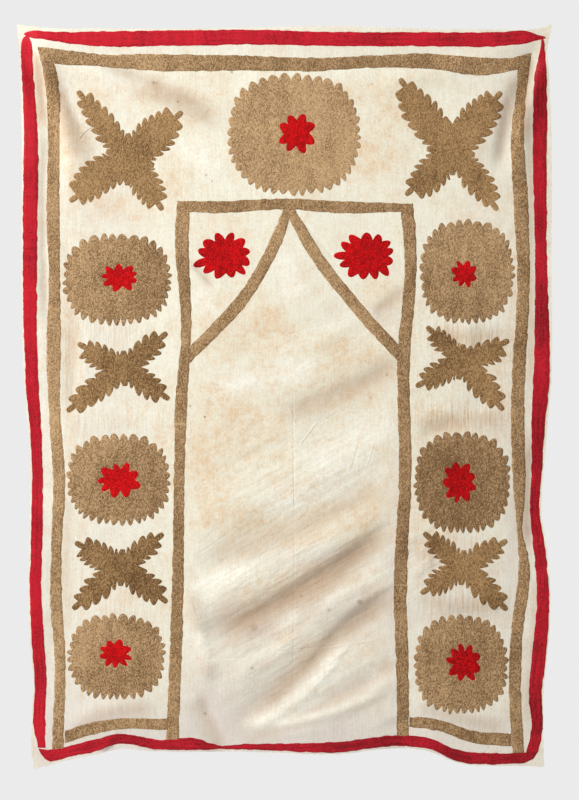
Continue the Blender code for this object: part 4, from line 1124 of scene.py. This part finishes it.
def ground_places():
    """Photo points of the ground's grid, row by row, fitted between its four uneven edges."""
    columns = int(CLOTH_WIDTH / GROUND_STEP)
    rows = int(PHOTO_CLOTH_HEIGHT * PIXEL / GROUND_STEP)
    across, down = np.meshgrid(np.linspace(0, 1, columns + 1), np.linspace(0, 1, rows + 1))
    x = PHOTO_MIDDLE_X + (across - 0.5) * PHOTO_CLOTH_WIDTH
    y = PHOTO_TOP_Y + down * PHOTO_CLOTH_HEIGHT
    for _ in range(5):
        left, right = read_rows(LEFT_SIDE, y)[..., 0], read_rows(RIGHT_SIDE, y)[..., 0]
        x = left + (right - left) * across
        top, foot = read_rows(TOP_SIDE, x)[..., 0], read_rows(BOTTOM_SIDE, x)[..., 0]
        y = top + (foot - top) * down
    hand = np.random.default_rng(5)
    x[:, 0] += hand.uniform(-0.35, 0.35, rows + 1)
    x[:, -1] += hand.uniform(-0.35, 0.35, rows + 1)
    y[0, 1:-1] += hand.uniform(-0.25, 0.25, columns - 1)
    y[-1, 1:-1] += hand.uniform(-0.15, 0.6, columns - 1)
    return x, y


def add_ground(material):
    """The cotton ground, one closed sheet on the same folds as its solid."""
    x, y = ground_places()
    rows, columns = x.shape
    points = np.stack([x.ravel(), y.ravel()], axis=1)
    lift = lift_of(points)
    half = CLOTH_THICKNESS / 2
    triangles = []
    for row in range(rows - 1):
        for column in range(columns - 1):
            a = row * columns + column
            b, c, d = a + 1, a + columns, a + columns + 1
            triangles += [(c, b, a), (c, d, b)]
    corners, faces = close_sheet(to_metres(points), lift + half, lift - half, triangles)
    # Painted highlights on the ridges; the warm patches, the dull patches of painted shade and the painted fold
    # shade are kept off them.
    bright = streaks(points, PAINTED_RIDGE_HIGHLIGHTS)
    values = {
        "bright": bright,
        "warm": patches(points, WARM_PATCHES) * (1 - bright),
        "dull": patches(points, GREY_SHADE_PATCHES) * (1 - bright),
        "painted_shade": streaks(points, PAINTED_FOLD_SHADES) * (1 - bright),
        "gather": patches(points, GATHER_PATCHES),
        "slant": patches(points, SLANT_PATCHES),
    }
    for k, row in enumerate(CREASES):
        values[f"crease_{k}"] = crease_values(points, row)
    values = {key: np.concatenate([value, value]) for key, value in values.items()}
    piece = make_piece("cotton_ground", corners, faces, material, values)
    return declare(piece, "cotton", "ground_cloth")


def crossings(points, loops):
    """Which points lie inside the outer loop and outside the holes."""
    inside = np.zeros(len(points), dtype=bool)
    for loop in loops:
        for (x1, z1), (x2, z2) in zip(loop, np.roll(loop, -1, axis=0)):
            if z1 == z2:
                continue
            spans = np.flatnonzero((points[:, 1] > min(z1, z2)) & (points[:, 1] <= max(z1, z2)))
            crossing = x1 + (points[spans, 1] - z1) * (x2 - x1) / (z2 - z1)
            inside[spans] ^= points[spans, 0] < crossing
    return inside


def rim_distance(points, loops, reach):
    """Metres from each point to the nearest outline, up to a reach."""
    nearest = np.full(len(points), reach)
    for loop in loops:
        for start, end in zip(loop, np.roll(loop, -1, axis=0)):
            step = end - start
            low, high = np.minimum(start, end) - reach, np.maximum(start, end) + reach
            near = np.flatnonzero(((points > low) & (points < high)).all(axis=1))
            if not len(near):
                continue
            t = np.clip((points[near] - start) @ step / max(step @ step, 1e-18), 0, 1)
            away = np.linalg.norm(points[near] - start - t[:, None] * step, axis=1)
            nearest[near] = np.minimum(nearest[near], away)
    return nearest


def fill_places(loops, step, within=None):
    """Places and triangles that fill an outline with even small triangles."""
    outer = np.concatenate(loops)
    low, high = outer.min(axis=0), outer.max(axis=0)
    xs = np.arange(low[0], high[0], step)
    zs = np.arange(low[1], high[1], step * math.sqrt(3) / 2)
    grid = np.stack(np.meshgrid(xs, zs), axis=-1)
    grid[1::2, :, 0] += step / 2
    grid = grid.reshape(-1, 2)
    grid = grid[crossings(grid, loops)]
    grid = grid[rim_distance(grid, loops, step) > step * 0.55]
    places = [Vector(place) for place in grid]
    edges = []
    limits = [] if within is None else [within]
    for loop in [*loops, *limits]:
        first = len(places)
        places += [Vector(place) for place in loop]
        edges += [(first + k, first + (k + 1) % len(loop)) for k in range(len(loop))]
    found, _, faces, *_ = delaunay_2d_cdt(places, edges, [], 0, SAME_POINT, False)
    found = np.array([tuple(place) for place in found])
    faces = np.array([face for face in faces if len(face) == 3])
    middles = found[faces].mean(axis=1)
    inside = crossings(middles, loops)
    for limit in limits:
        inside &= crossings(middles, [limit])
    faces = faces[inside]
    a, b, c = (found[faces[:, k]] for k in range(3))
    turn = (b[:, 0] - a[:, 0]) * (c[:, 1] - a[:, 1]) - (b[:, 1] - a[:, 1]) * (c[:, 0] - a[:, 0])
    faces[turn < 0] = faces[turn < 0][:, ::-1]
    used, faces = np.unique(faces, return_inverse=True)
    return found[used], faces.reshape(-1, 3)


def add_worked(node, loops, material, slot, within=None):
    """A stitched piece: raised, rounded at its rim, with rows that show through to the reverse."""
    loops = [np.asarray(loop) for loop in loops]
    places, triangles = fill_places(loops, STITCH_STEP, within)
    away = rim_distance(places, loops, RIM_REACH)
    rise = np.sqrt(np.clip(1 - (1 - np.clip(away / STITCH_RIM, 0, 1)) ** 2, 0, 1))
    lift = lift_of(to_photo(places))
    ripple = np.sin(places[:, 0] * math.pi / ROW_PITCH + 1.5 * np.sin(places[:, 1] * 2 * math.pi / 0.031))
    pucker = np.sin(places[:, 0] * 310 + 2.0 * np.sin(places[:, 1] * 120)) * np.sin(places[:, 1] * 270)
    height = 0.25 * MILLIMETRE + (STITCH_HEIGHT - 0.25 * MILLIMETRE) * rise
    height += rise * (0.10 * ripple + 0.16 * pucker) * MILLIMETRE
    half = CLOTH_THICKNESS / 2
    front = lift + half + height
    back = lift - half - REVERSE_HEIGHT * (0.2 + 0.8 * rise)
    corners, faces = close_sheet(places, front, back, triangles)
    photo = to_photo(places)
    # Painted shade: darker to the right and along the folds, besides each piece's own tone.
    tone = TONES.get(node, 0.0) + ACROSS_SHADE_TONE * places[:, 0] / CLOTH_WIDTH
    tone += FOLD_SHADE_TONE * streaks(photo, PAINTED_FOLD_SHADES)
    for y, first, last in FOLD_LINES:
        tone -= LINE_TONE * ((abs(photo[:, 1] - y) < 0.7) & (photo[:, 0] > first) & (photo[:, 0] < last))
    piece = make_piece(f"worked_{node}", corners, faces, material, {"tone": np.concatenate([tone, tone])})
    return declare(piece, slot, node)


def add_sewn(node, loop, material, ways, raised=None):
    """A length of ribbon: flat, with a thin rim, slight puckers, and laps where the table has them."""
    loop = np.asarray(loop)
    places, triangles = fill_places([loop], RIBBON_STEP)
    away = rim_distance(places, [loop], RIM_REACH)
    rise = np.clip(away / RIBBON_RIM, 0, 1)
    photo = to_photo(places)
    along = places[:, 0] if ways == "level" else places[:, 1]
    pucker = np.sin(along * 190 + 1.2 * np.sin(along * 37)) * np.sin(along * 71 + 0.6)
    height = (0.45 + 0.65 * rise) * RIBBON_HEIGHT + 0.30 * MILLIMETRE * pucker * rise
    if raised is not None:
        height += raised(photo) * RIBBON_HEIGHT
    lift = lift_of(photo)
    half = CLOTH_THICKNESS / 2
    corners, faces = close_sheet(places, lift + half + height, lift + half - 0.2 * MILLIMETRE, triangles)
    stitch = np.stack([along, away, np.zeros(len(places))], axis=1)
    # Painted shade: darker for the lower lengths and towards the right.
    tone = RIBBON_SHADE_TONES.get(node, 0.0) + RIBBON_ACROSS_SHADE * places[:, 0] / CLOTH_WIDTH
    values = {"stitch": np.concatenate([stitch, stitch]), "tone": np.concatenate([tone, tone])}
    piece = make_piece(f"sewn_{node}", corners, faces, material, values)
    return declare(piece, "ribbon", node)


def between(rows, first, last, upright, outer, inner, step=2.0):
    """The two long sides of a strip in photo points, from columns of a table."""
    keys = np.linspace(first, last, max(int(abs(last - first) / step), 2) + 1)
    values = read_rows(rows, keys)
    sides = []
    for column in (outer, inner):
        side = [values[:, column], keys] if upright else [keys, values[:, column]]
        sides.append(np.stack(side, axis=1))
    return sides


def uneven(points, seed, amount=0.28):
    """Nudges the points of a long edge by a soft random amount, as handwork does."""
    hand = np.random.default_rng(seed)
    nudge = hand.normal(0, 1, points.shape)
    soft = sum(np.roll(nudge, k, axis=0) for k in range(3)) / math.sqrt(3)
    soft[0] = 0
    soft[-1] = 0
    return points + soft * amount


def uneven_shares(count, spread, hand, wider_up=0.0):
    """Where each of several uneven teeth starts, as shares of the way round or along."""
    widths = []
    for k in range(count):
        upward = max(math.sin(2 * math.pi * (k + 0.5) / count), 0.0)
        widths.append((1 + wider_up * upward) * hand.uniform(1 - spread, 1 + spread))
    return np.concatenate([[0.0], np.cumsum(widths)]) / sum(widths)


def rosette_loop(row, seed, shrink=0.0, style=KHAKI_TEETH, petal=0.0):
    """Photo points round a serrated rosette: its upper teeth are the widest, and the lowest are pointed."""
    _, x, y, left, right, up, down, teeth, depth = row
    spread, wider_up, shallow_aside, roundness, pointed_foot, upright, deeper = style
    depth *= deeper
    hand = random.Random(seed)
    starts = uneven_shares(teeth, spread, hand, wider_up)
    valleys = []
    for start in starts[:-1]:
        aside = math.cos(2 * math.pi * start) ** 2
        valleys.append(depth * (1 - shallow_aside * aside) * hand.uniform(0.85, 1.15))
    valleys.append(valleys[0])
    points = []
    for tooth in range(teeth):
        middle = math.pi * (starts[tooth] + starts[tooth + 1])
        top = hand.uniform(-0.05, 0.28) * depth
        if petal and abs(middle - math.pi * 1.03) < math.pi / teeth:
            top = -petal
        shift = hand.uniform(-0.15, 0.15)
        power = roundness * hand.uniform(0.8, 1.2)
        if math.sin(middle) < -0.4:
            power = max(power, pointed_foot)
        lean = upright * math.sin(middle) * math.cos(middle)
        for k in range(TOOTH_STEPS):
            share = k / TOOTH_STEPS
            peak = 0.5 + shift
            skewed = 0.5 * share / peak if share < peak else 1 - 0.5 * (1 - share) / (1 - peak)
            rise = math.sin(math.pi * skewed) ** power
            valley = valleys[tooth] + share * (valleys[tooth + 1] - valleys[tooth])
            sink = valley + rise * (top - valley)
            angle = 2 * math.pi * (starts[tooth] + share * (starts[tooth + 1] - starts[tooth]))
            across, upward = math.cos(angle), math.sin(angle)
            reach_x = (right if across > 0 else left) - sink - shrink
            reach_y = (up if upward > 0 else down) - sink - shrink
            squarer = (abs(across) ** SQUARENESS + abs(upward) ** SQUARENESS) ** (-1 / SQUARENESS)
            aside = lean * rise * depth
            points.append((x + across * squarer * reach_x - upward * aside,
                           y - upward * squarer * reach_y - across * aside))
    return points


def leaf_half_width(t, width):
    """Half width of a leaf between its teeth, at a share t of the way to its tip."""
    full = width / 2 - LEAF_TOOTH_DEPTH * LEAF_CUT
    narrowing = max(0.0, (t - 0.5) / 0.5)
    return full * (1 - 0.75 * narrowing ** 1.4)


def leaf_side(middle, tip, bow, width, teeth, start, side, hand):
    """Photo points along one side of a leaf, with rounded teeth that lean towards its tip."""
    along = tip - middle
    length = np.linalg.norm(along)
    along /= length
    clockwise = np.array((-along[1], along[0]))
    aside = side * clockwise
    points = []
    last = 1 - LEAF_LOBE[0][0] / length
    starts = start + (last - start) * uneven_shares(teeth, 0.16, hand)
    for tooth in range(teeth):
        depth = LEAF_TOOTH_DEPTH * LEAF_CUT * hand.uniform(0.85, 1.25) * (1 - 0.40 * (tooth / teeth) ** 2)
        if tooth == 0:
            depth *= FIRST_TOOTH
        power = hand.uniform(0.50, 0.75)
        for k in range(TOOTH_STEPS):
            share = k / TOOTH_STEPS
            if tooth == 0 and share < 0.5:
                continue
            if share < LEAF_PEAK:
                skewed = 0.5 * share / LEAF_PEAK
            else:
                skewed = 1 - 0.5 * (1 - share) / (1 - LEAF_PEAK)
            rise = math.sin(math.pi * skewed) ** power
            t = starts[tooth] + share * (starts[tooth + 1] - starts[tooth])
            out = leaf_half_width(t, width) + rise * depth
            bend = bow * 4 * t * (1 - t)
            forward = along * (t * length + rise * depth * LEAF_LEAN)
            points.append(middle + forward + aside * out + clockwise * bend)
    for back, out in LEAF_LOBE:
        points.append(middle + along * (length - back) + aside * out)
    return points


def fork_between(middle, first, second):
    """Photo points in the fork between two neighbouring leaves, and how far along each leaf it is."""
    lines = []
    for (tip, _, width, *_), side in ((first, 1), (second, -1)):
        along = (tip - middle) / np.linalg.norm(tip - middle)
        aside = side * np.array((-along[1], along[0]))
        lines.append((middle + aside * (width - LEAF_TOOTH_DEPTH) / 2, along))
    (base_a, along_a), (base_b, along_b) = lines
    s, t = np.linalg.solve(np.stack([along_a, -along_b], axis=1), base_b - base_a)
    corner = base_a + along_a * s
    points = [corner]
    if math.acos(along_a @ along_b) > WIDE_FORK:
        outward = (corner - middle) / np.linalg.norm(corner - middle)
        across = np.array((-outward[1], outward[0])) * FORK_TOOTH_WIDTH / 2
        peak = corner + outward * LEAF_TOOTH_DEPTH * 0.8
        points = [corner - across, peak - across * 0.55, peak, peak + across * 0.55, corner + across]
    return points, s / np.linalg.norm(first[0] - middle), t / np.linalg.norm(second[0] - middle)


def cross_loop(name, x, y, seed):
    """Photo points round a cross of four serrated leaves."""
    hand = random.Random(seed)
    middle = np.array((x, y), dtype=float)
    arms = [(np.array(row[1:3], dtype=float), *row[3:]) for row in CROSS_ARMS if row[0] == name]
    forks = [fork_between(middle, arm, arms[(k + 1) % len(arms)]) for k, arm in enumerate(arms)]
    points = []
    for k, (tip, bow, width, teeth_in, teeth_out) in enumerate(arms):
        points += leaf_side(middle, tip, bow, width, teeth_in, forks[k - 1][2], -1, hand)
        points += leaf_side(middle, tip, bow, width, teeth_out, forks[k][1], 1, hand)[::-1]
        points += forks[k][0]
    return points


def thick_line(points, width, seed, narrow_end):
    """The two long sides of a bent line of uneven width, narrower towards its first or last point."""
    points = smooth_line(points, 2.0)
    shares = np.linspace(0, 1, len(points)) if narrow_end == "first" else np.linspace(1, 0, len(points))
    width = width * (0.74 + 0.26 * np.clip(shares / 0.16, 0, 1))[:, None]
    along = np.gradient(points, axis=0)
    along /= np.linalg.norm(along, axis=1)[:, None]
    normals = np.stack([along[:, 1], -along[:, 0]], axis=1)
    return uneven(points + normals * width / 2, seed), uneven(points - normals * width / 2, seed + 1)


def roof_loop():
    """The niche's two slanting lines, which join at their point."""
    peak = [place[1] for place in ROOF].index(min(place[1] for place in ROOF))
    rising = thick_line(ROOF[:peak + 1], ROOF_WIDTH, 120, "last")
    falling = thick_line(ROOF[peak:], ROOF_WIDTH, 124, "first")
    over, under = (0, 1) if rising[0][:, 1].mean() < rising[1][:, 1].mean() else (1, 0)
    outer = meet(rising[over], falling[over])
    inner = meet(rising[under], falling[under])
    return [*outer, *inner[::-1]]


def smooth_line(points, step):
    """Points at even steps along a soft curve through the given ones, kept straight at its ends."""
    points = np.array(points, dtype=float)
    lengths = np.concatenate([[0], np.cumsum(np.linalg.norm(np.diff(points, axis=0), axis=1))])
    at = np.linspace(0, lengths[-1], int(lengths[-1] / step) + 1)
    return read_rows(np.column_stack([lengths, points]), at)


def add_rosettes(materials):
    for k, (rosette, centre) in enumerate(zip(ROSETTES, RED_CENTRES)):
        name = rosette[0]
        outline = to_metres(rosette_loop(rosette, seed=k))
        hole = to_metres(rosette_loop(centre, seed=20 + k, shrink=0.1, style=RED_TEETH))
        red = to_metres(rosette_loop(centre, seed=20 + k, style=RED_TEETH))
        add_worked(f"rosette_{name}", [outline, hole], materials["khaki"], "khaki_stitch")
        add_worked(f"centre_{name}", [red], materials["red"], "red_stitch")
    for k, row in enumerate(RED_ROSETTES):
        outline = to_metres(rosette_loop(row, seed=40 + k, style=RED_LOBES, petal=LONG_PETAL))
        add_worked(f"red_rosette_{row[0]}", [outline], materials["red"], "red_stitch")


def add_crosses(materials):
    for k, (name, x, y) in enumerate(CROSSES):
        outline = to_metres(cross_loop(name, x, y, seed=60 + k))
        add_worked(f"cross_{name}", [outline], materials["brown"], "brown_stitch")


def band_sides(rows, first, last, upright, seed):
    """Outer and inner side of a stitched band, each a little uneven."""
    outer, inner = between(rows, first, last, upright, 0, 1)
    return uneven(outer, seed), uneven(inner, seed + 1)


def meet(side_a, side_b):
    """Cuts two sides where they cross and joins them there, the first running into the second."""
    away = np.linalg.norm(side_a[:, None] - side_b[None], axis=2)
    a, b = np.unravel_index(np.argmin(away), away.shape)
    corner = (side_a[a] + side_b[b]) / 2
    return np.concatenate([side_a[:a], [corner], side_b[b + 1:]])


def foot_at(x):
    """Photo height at which the stitched uprights run under the foot ribbon."""
    return float(read_rows(BOTTOM_SIDE, x)[2]) + 0.4


def arch_loop(left_rows, top_rows, right_rows, seed):
    """Outline of a band that goes up one side, along the top and down the other."""
    top_y = float(np.array(top_rows)[:, 1].min())
    left_foot = foot_at(left_rows[-1][1])
    right_foot = foot_at(right_rows[-1][1])
    left_outer, left_inner = band_sides(left_rows, left_foot, top_y, True, seed)
    right_outer, right_inner = band_sides(right_rows, top_y, right_foot, True, seed + 2)
    top_outer, top_inner = band_sides(top_rows, top_rows[0][0], top_rows[-1][0], False, seed + 4)
    outer = meet(meet(left_outer, top_outer), right_outer)
    inner = meet(meet(left_inner, top_inner), right_inner)
    return [*outer, *inner[::-1]]


def add_bands(materials):
    """The outer line, the niche with its roof, and the bars at the foot of the side columns."""
    outer = to_metres(arch_loop(OUTER_LINE_LEFT, OUTER_LINE_TOP, OUTER_LINE_RIGHT, 100))
    add_worked("outer_line", [outer], materials["khaki"], "khaki_stitch")
    niche = to_metres(arch_loop(NICHE_LEFT, NICHE_TOP, NICHE_RIGHT, 110))
    add_worked("niche_frame", [niche], materials["khaki"], "khaki_stitch")
    opening = niche_opening()
    roof = to_metres(roof_loop())
    add_worked("niche_roof", [roof], materials["khaki"], "khaki_stitch", within=opening)
    for name, left, right, seed in FOOT_BAR_ENDS:
        upper, lower = band_sides(FOOT_BARS, left, right, False, seed)
        loop = to_metres([*upper, *lower[::-1]])
        add_worked(f"foot_bar_{name}", [loop], materials["khaki"], "khaki_stitch")


def niche_opening():
    """The ground inside the niche frame, where the roof lines may lie."""
    left = between(NICHE_LEFT, 214, 500, True, 1, 1)[0]
    right = between(NICHE_RIGHT, 214, 500, True, 1, 1)[0]
    top = between(NICHE_TOP, 190.5, 399.5, False, 1, 1)[0]
    loop = np.concatenate([left[::-1], top, right])
    return to_metres(loop)


def ribbon_side(rows, first, last, upright, seed):
    """Outer and inner side of a length of ribbon, each a little uneven."""
    outer, inner = between(rows, first, last, upright, 1, 2)
    return uneven(outer, seed, RIBBON_UNEVEN), uneven(inner, seed + 1, RIBBON_UNEVEN)


def pointed(outer, inner, length, at_start=True):
    """Draws one end of a ribbon together to a soft point over a length in pixels."""
    middle = (outer + inner) / 2
    end = middle[0] if at_start else middle[-1]
    share = np.clip(np.linalg.norm(middle - end, axis=1) / length, 0, 1)
    share = (0.18 + 0.82 * np.sqrt(share))[:, None]
    return middle + (outer - middle) * share, middle + (inner - middle) * share


def lap(photo, start, end, soft=1.2):
    """1 between two photo places along x, falling off softly outside them."""
    rise = np.clip((photo[:, 0] - start) / soft + 0.5, 0, 1)
    fall = np.clip((end - photo[:, 0]) / soft + 0.5, 0, 1)
    return np.minimum(rise, fall)


def top_lap(photo):
    """The top ribbon's left length lies over the start of its right one."""
    return lap(photo, TOP_LAP_UPPER - LAP_LENGTH, TOP_LAP_UPPER + 196)


def foot_lap(photo):
    """The foot ribbon is double where two lengths are joined."""
    return 0.8 * lap(photo, *FOOT_LAP, soft=2.0)


def add_ribbons(material):
    """Five lengths of ribbon, with a slanting lap on the top one and two joins in the foot one."""
    for name, rows, ways, first, last, seed, length, at_start in RIBBON_RUNS:
        outer, inner = pointed(*ribbon_side(rows, first, last, ways == "upright", seed), length, at_start)
        raised = None
        if name == "ribbon_top_left":
            outer[-1], inner[-1] = (TOP_LAP_UPPER, outer[-1][1]), (TOP_LAP_LOWER, inner[-1][1])
            raised = top_lap
        add_sewn(name, to_metres([*outer, *inner[::-1]]), material, ways, raised)
    upper = between(BOTTOM_SIDE, 45.5, 524.5, False, 2, 2)[0]
    lower = between(BOTTOM_SIDE, 50.0, 524.0, False, 1, 1)[0]
    upper = uneven(upper, 216, RIBBON_UNEVEN)
    lower = uneven(lower, 217, RIBBON_UNEVEN)
    loop = [*upper, *FOOT_CORNER_RIGHT, *lower[::-1], *FOOT_CORNER_LEFT]
    add_sewn("ribbon_foot", to_metres(loop), material, "level", foot_lap)


def tube(points, radii, sides=5):
    """Corners and faces of a thin closed tube along world points."""
    points = np.asarray(points, dtype=float)
    along = np.gradient(points, axis=0)
    along /= np.maximum(np.linalg.norm(along, axis=1)[:, None], 1e-12)
    aside = np.cross(along, (0.0, 1.0, 0.0))
    aside /= np.maximum(np.linalg.norm(aside, axis=1)[:, None], 1e-12)
    over = np.cross(along, aside)
    corners, faces = [], []
    for point, u, v, radius in zip(points, aside, over, radii):
        for k in range(sides):
            turn = 2 * math.pi * k / sides
            corners.append(point + radius * (math.cos(turn) * u + math.sin(turn) * v))
    for ring in range(len(points) - 1):
        for k in range(sides):
            a, b = ring * sides + k, ring * sides + (k + 1) % sides
            faces.append((a, b, b + sides, a + sides))
    last = (len(points) - 1) * sides
    faces.append(tuple(range(sides))[::-1])
    faces.append(tuple(last + k for k in range(sides)))
    return corners, faces


def add_tubes(name, lines, material, slot):
    """Several thin threads as one piece."""
    corners, faces = [], []
    for points, radii in lines:
        more, sides = tube(points, radii)
        first = len(corners)
        corners += more
        faces += [tuple(first + k for k in face) for face in sides]
    piece = make_piece(name, corners, faces, material)
    return declare(piece, slot)


def add_threads(materials):
    """Frayed ends along the hem, and the one loose dark thread."""
    hand = random.Random(77)
    lines = []
    shares = np.linspace(0, 1, 4)
    for _ in range(FRAY_COUNT):
        x = hand.uniform(FRAY_FROM, FRAY_TO)
        y = float(read_rows(BOTTOM_SIDE, x)[0])
        length = hand.uniform(0.7, 2.6) if hand.random() < 0.85 else hand.uniform(2.6, 5.0)
        lean = hand.uniform(-0.5, 0.5)
        bend = hand.uniform(-0.5, 0.5)
        across = x + length * (lean * shares + bend * shares ** 2)
        photo = np.stack([across, y - 0.8 + (length + 0.8) * shares], axis=1)
        lines.append(thread_line(photo, FRAY_RADIUS, 0.0))
    add_tubes("frayed_threads", lines, materials["fray"], "cotton")
    photo = smooth_line(LOOSE_THREAD, 1.0)
    loose = thread_line(photo, LOOSE_RADIUS, LOOSE_HEIGHT)
    add_tubes("loose_thread", [loose], materials["thread"], "brown_stitch")


def thread_line(photo, radius, above):
    """World points and radii of a thread that lies along photo points, thinner at its ends."""
    places = to_metres(photo)
    lift = lift_of(np.asarray(photo, dtype=float))
    points = np.stack([places[:, 0], -(lift + above), places[:, 1]], axis=1)
    shares = np.linspace(0, 1, len(points))
    return points, radius * (1.0 - 0.55 * shares)


def add_stage():
    """A pale floor some way under the cloth."""
    data = bpy.data.meshes.new("floor")
    ring = [(FLOOR_RADIUS * math.cos(t), FLOOR_RADIUS * math.sin(t), FLOOR_Z) for t in
            np.linspace(0, 2 * math.pi, 96, endpoint=False)]
    data.from_pydata(ring, [], [tuple(range(len(ring)))])
    data.materials.append(plain_material("floor", PALE, 0.9))
    floor = bpy.data.objects.new("floor", data)
    bpy.context.collection.objects.link(floor)


def add_light(name, place, size, power, colour):
    """A square soft light that points at the middle of the cloth."""
    lamp = bpy.data.lights.new(name, "AREA")
    lamp.shape = "SQUARE"
    lamp.size = size
    lamp.energy = power
    lamp.color = colour
    light = bpy.data.objects.new(name, lamp)
    light.location = place
    light.rotation_euler = (Vector(LIGHT_TARGET) - Vector(place)).to_track_quat("-Z", "Y").to_euler()
    bpy.context.collection.objects.link(light)


def add_world():
    """The flat pale grey that the camera sees, and a softer light from all round."""
    world = bpy.data.worlds.new("studio")
    bpy.context.scene.world = world
    world.use_nodes = True
    tree = world.node_tree
    tree.nodes.clear()
    seen = put(tree, "ShaderNodeBackground", {"Color": linear(PALE), "Strength": 1.0})
    lit = put(tree, "ShaderNodeBackground", {"Color": linear(AMBIENT), "Strength": AMBIENT_STRENGTH})
    ray = put(tree, "ShaderNodeLightPath")
    either = put(tree, "ShaderNodeMixShader", {0: ray.outputs["Is Camera Ray"]})
    tree.links.new(lit.outputs[0], either.inputs[1])
    tree.links.new(seen.outputs[0], either.inputs[2])
    out = put(tree, "ShaderNodeOutputWorld")
    tree.links.new(either.outputs[0], out.inputs[0])


def add_camera():
    """Face on and far away, so that the cloth's plane falls on the photograph's pixels."""
    camera = bpy.data.cameras.new("camera")
    camera.sensor_width = SENSOR
    camera.lens = SENSOR * CAMERA_DISTANCE / (IMAGE_HEIGHT * PIXEL)
    camera.clip_end = 60.0
    view = bpy.data.objects.new("camera", camera)
    (x, z), = to_metres([(IMAGE_WIDTH / 2, IMAGE_HEIGHT / 2)])
    view.location = (x, -CAMERA_DISTANCE, z)
    view.rotation_euler = (math.pi / 2, 0.0, 0.0)
    bpy.context.collection.objects.link(view)
    bpy.context.scene.camera = view


def main():
    """Builds every piece round the frame, then the lights and the camera."""
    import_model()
    materials = {
        "cotton": cotton_material(),
        "khaki": stitch_material("khaki_stitch", KHAKI, KHAKI_DARK),
        "brown": stitch_material("brown_stitch", BROWN, BROWN_DARK),
        "red": stitch_material("red_stitch", RED, RED_DARK),
        "ribbon": ribbon_material(),
        "fray": plain_material("fray", CREAM),
        "thread": plain_material("thread", THREAD_BROWN),
    }
    ground = add_ground(materials["cotton"])
    add_bands(materials)
    add_rosettes(materials)
    add_crosses(materials)
    add_ribbons(materials["ribbon"])
    add_threads(materials)
    add_stage()
    add_world()
    add_light("key", KEY_PLACE, KEY_SIZE, KEY_POWER, KEY_COLOUR)
    add_light("fill", FILL_PLACE, FILL_SIZE, FILL_POWER, FILL_COLOUR)
    add_light("behind", BEHIND_PLACE, FILL_SIZE, BEHIND_POWER, FILL_COLOUR)
    add_camera()
    bpy.context.scene.view_settings.view_transform = "Standard"


main()
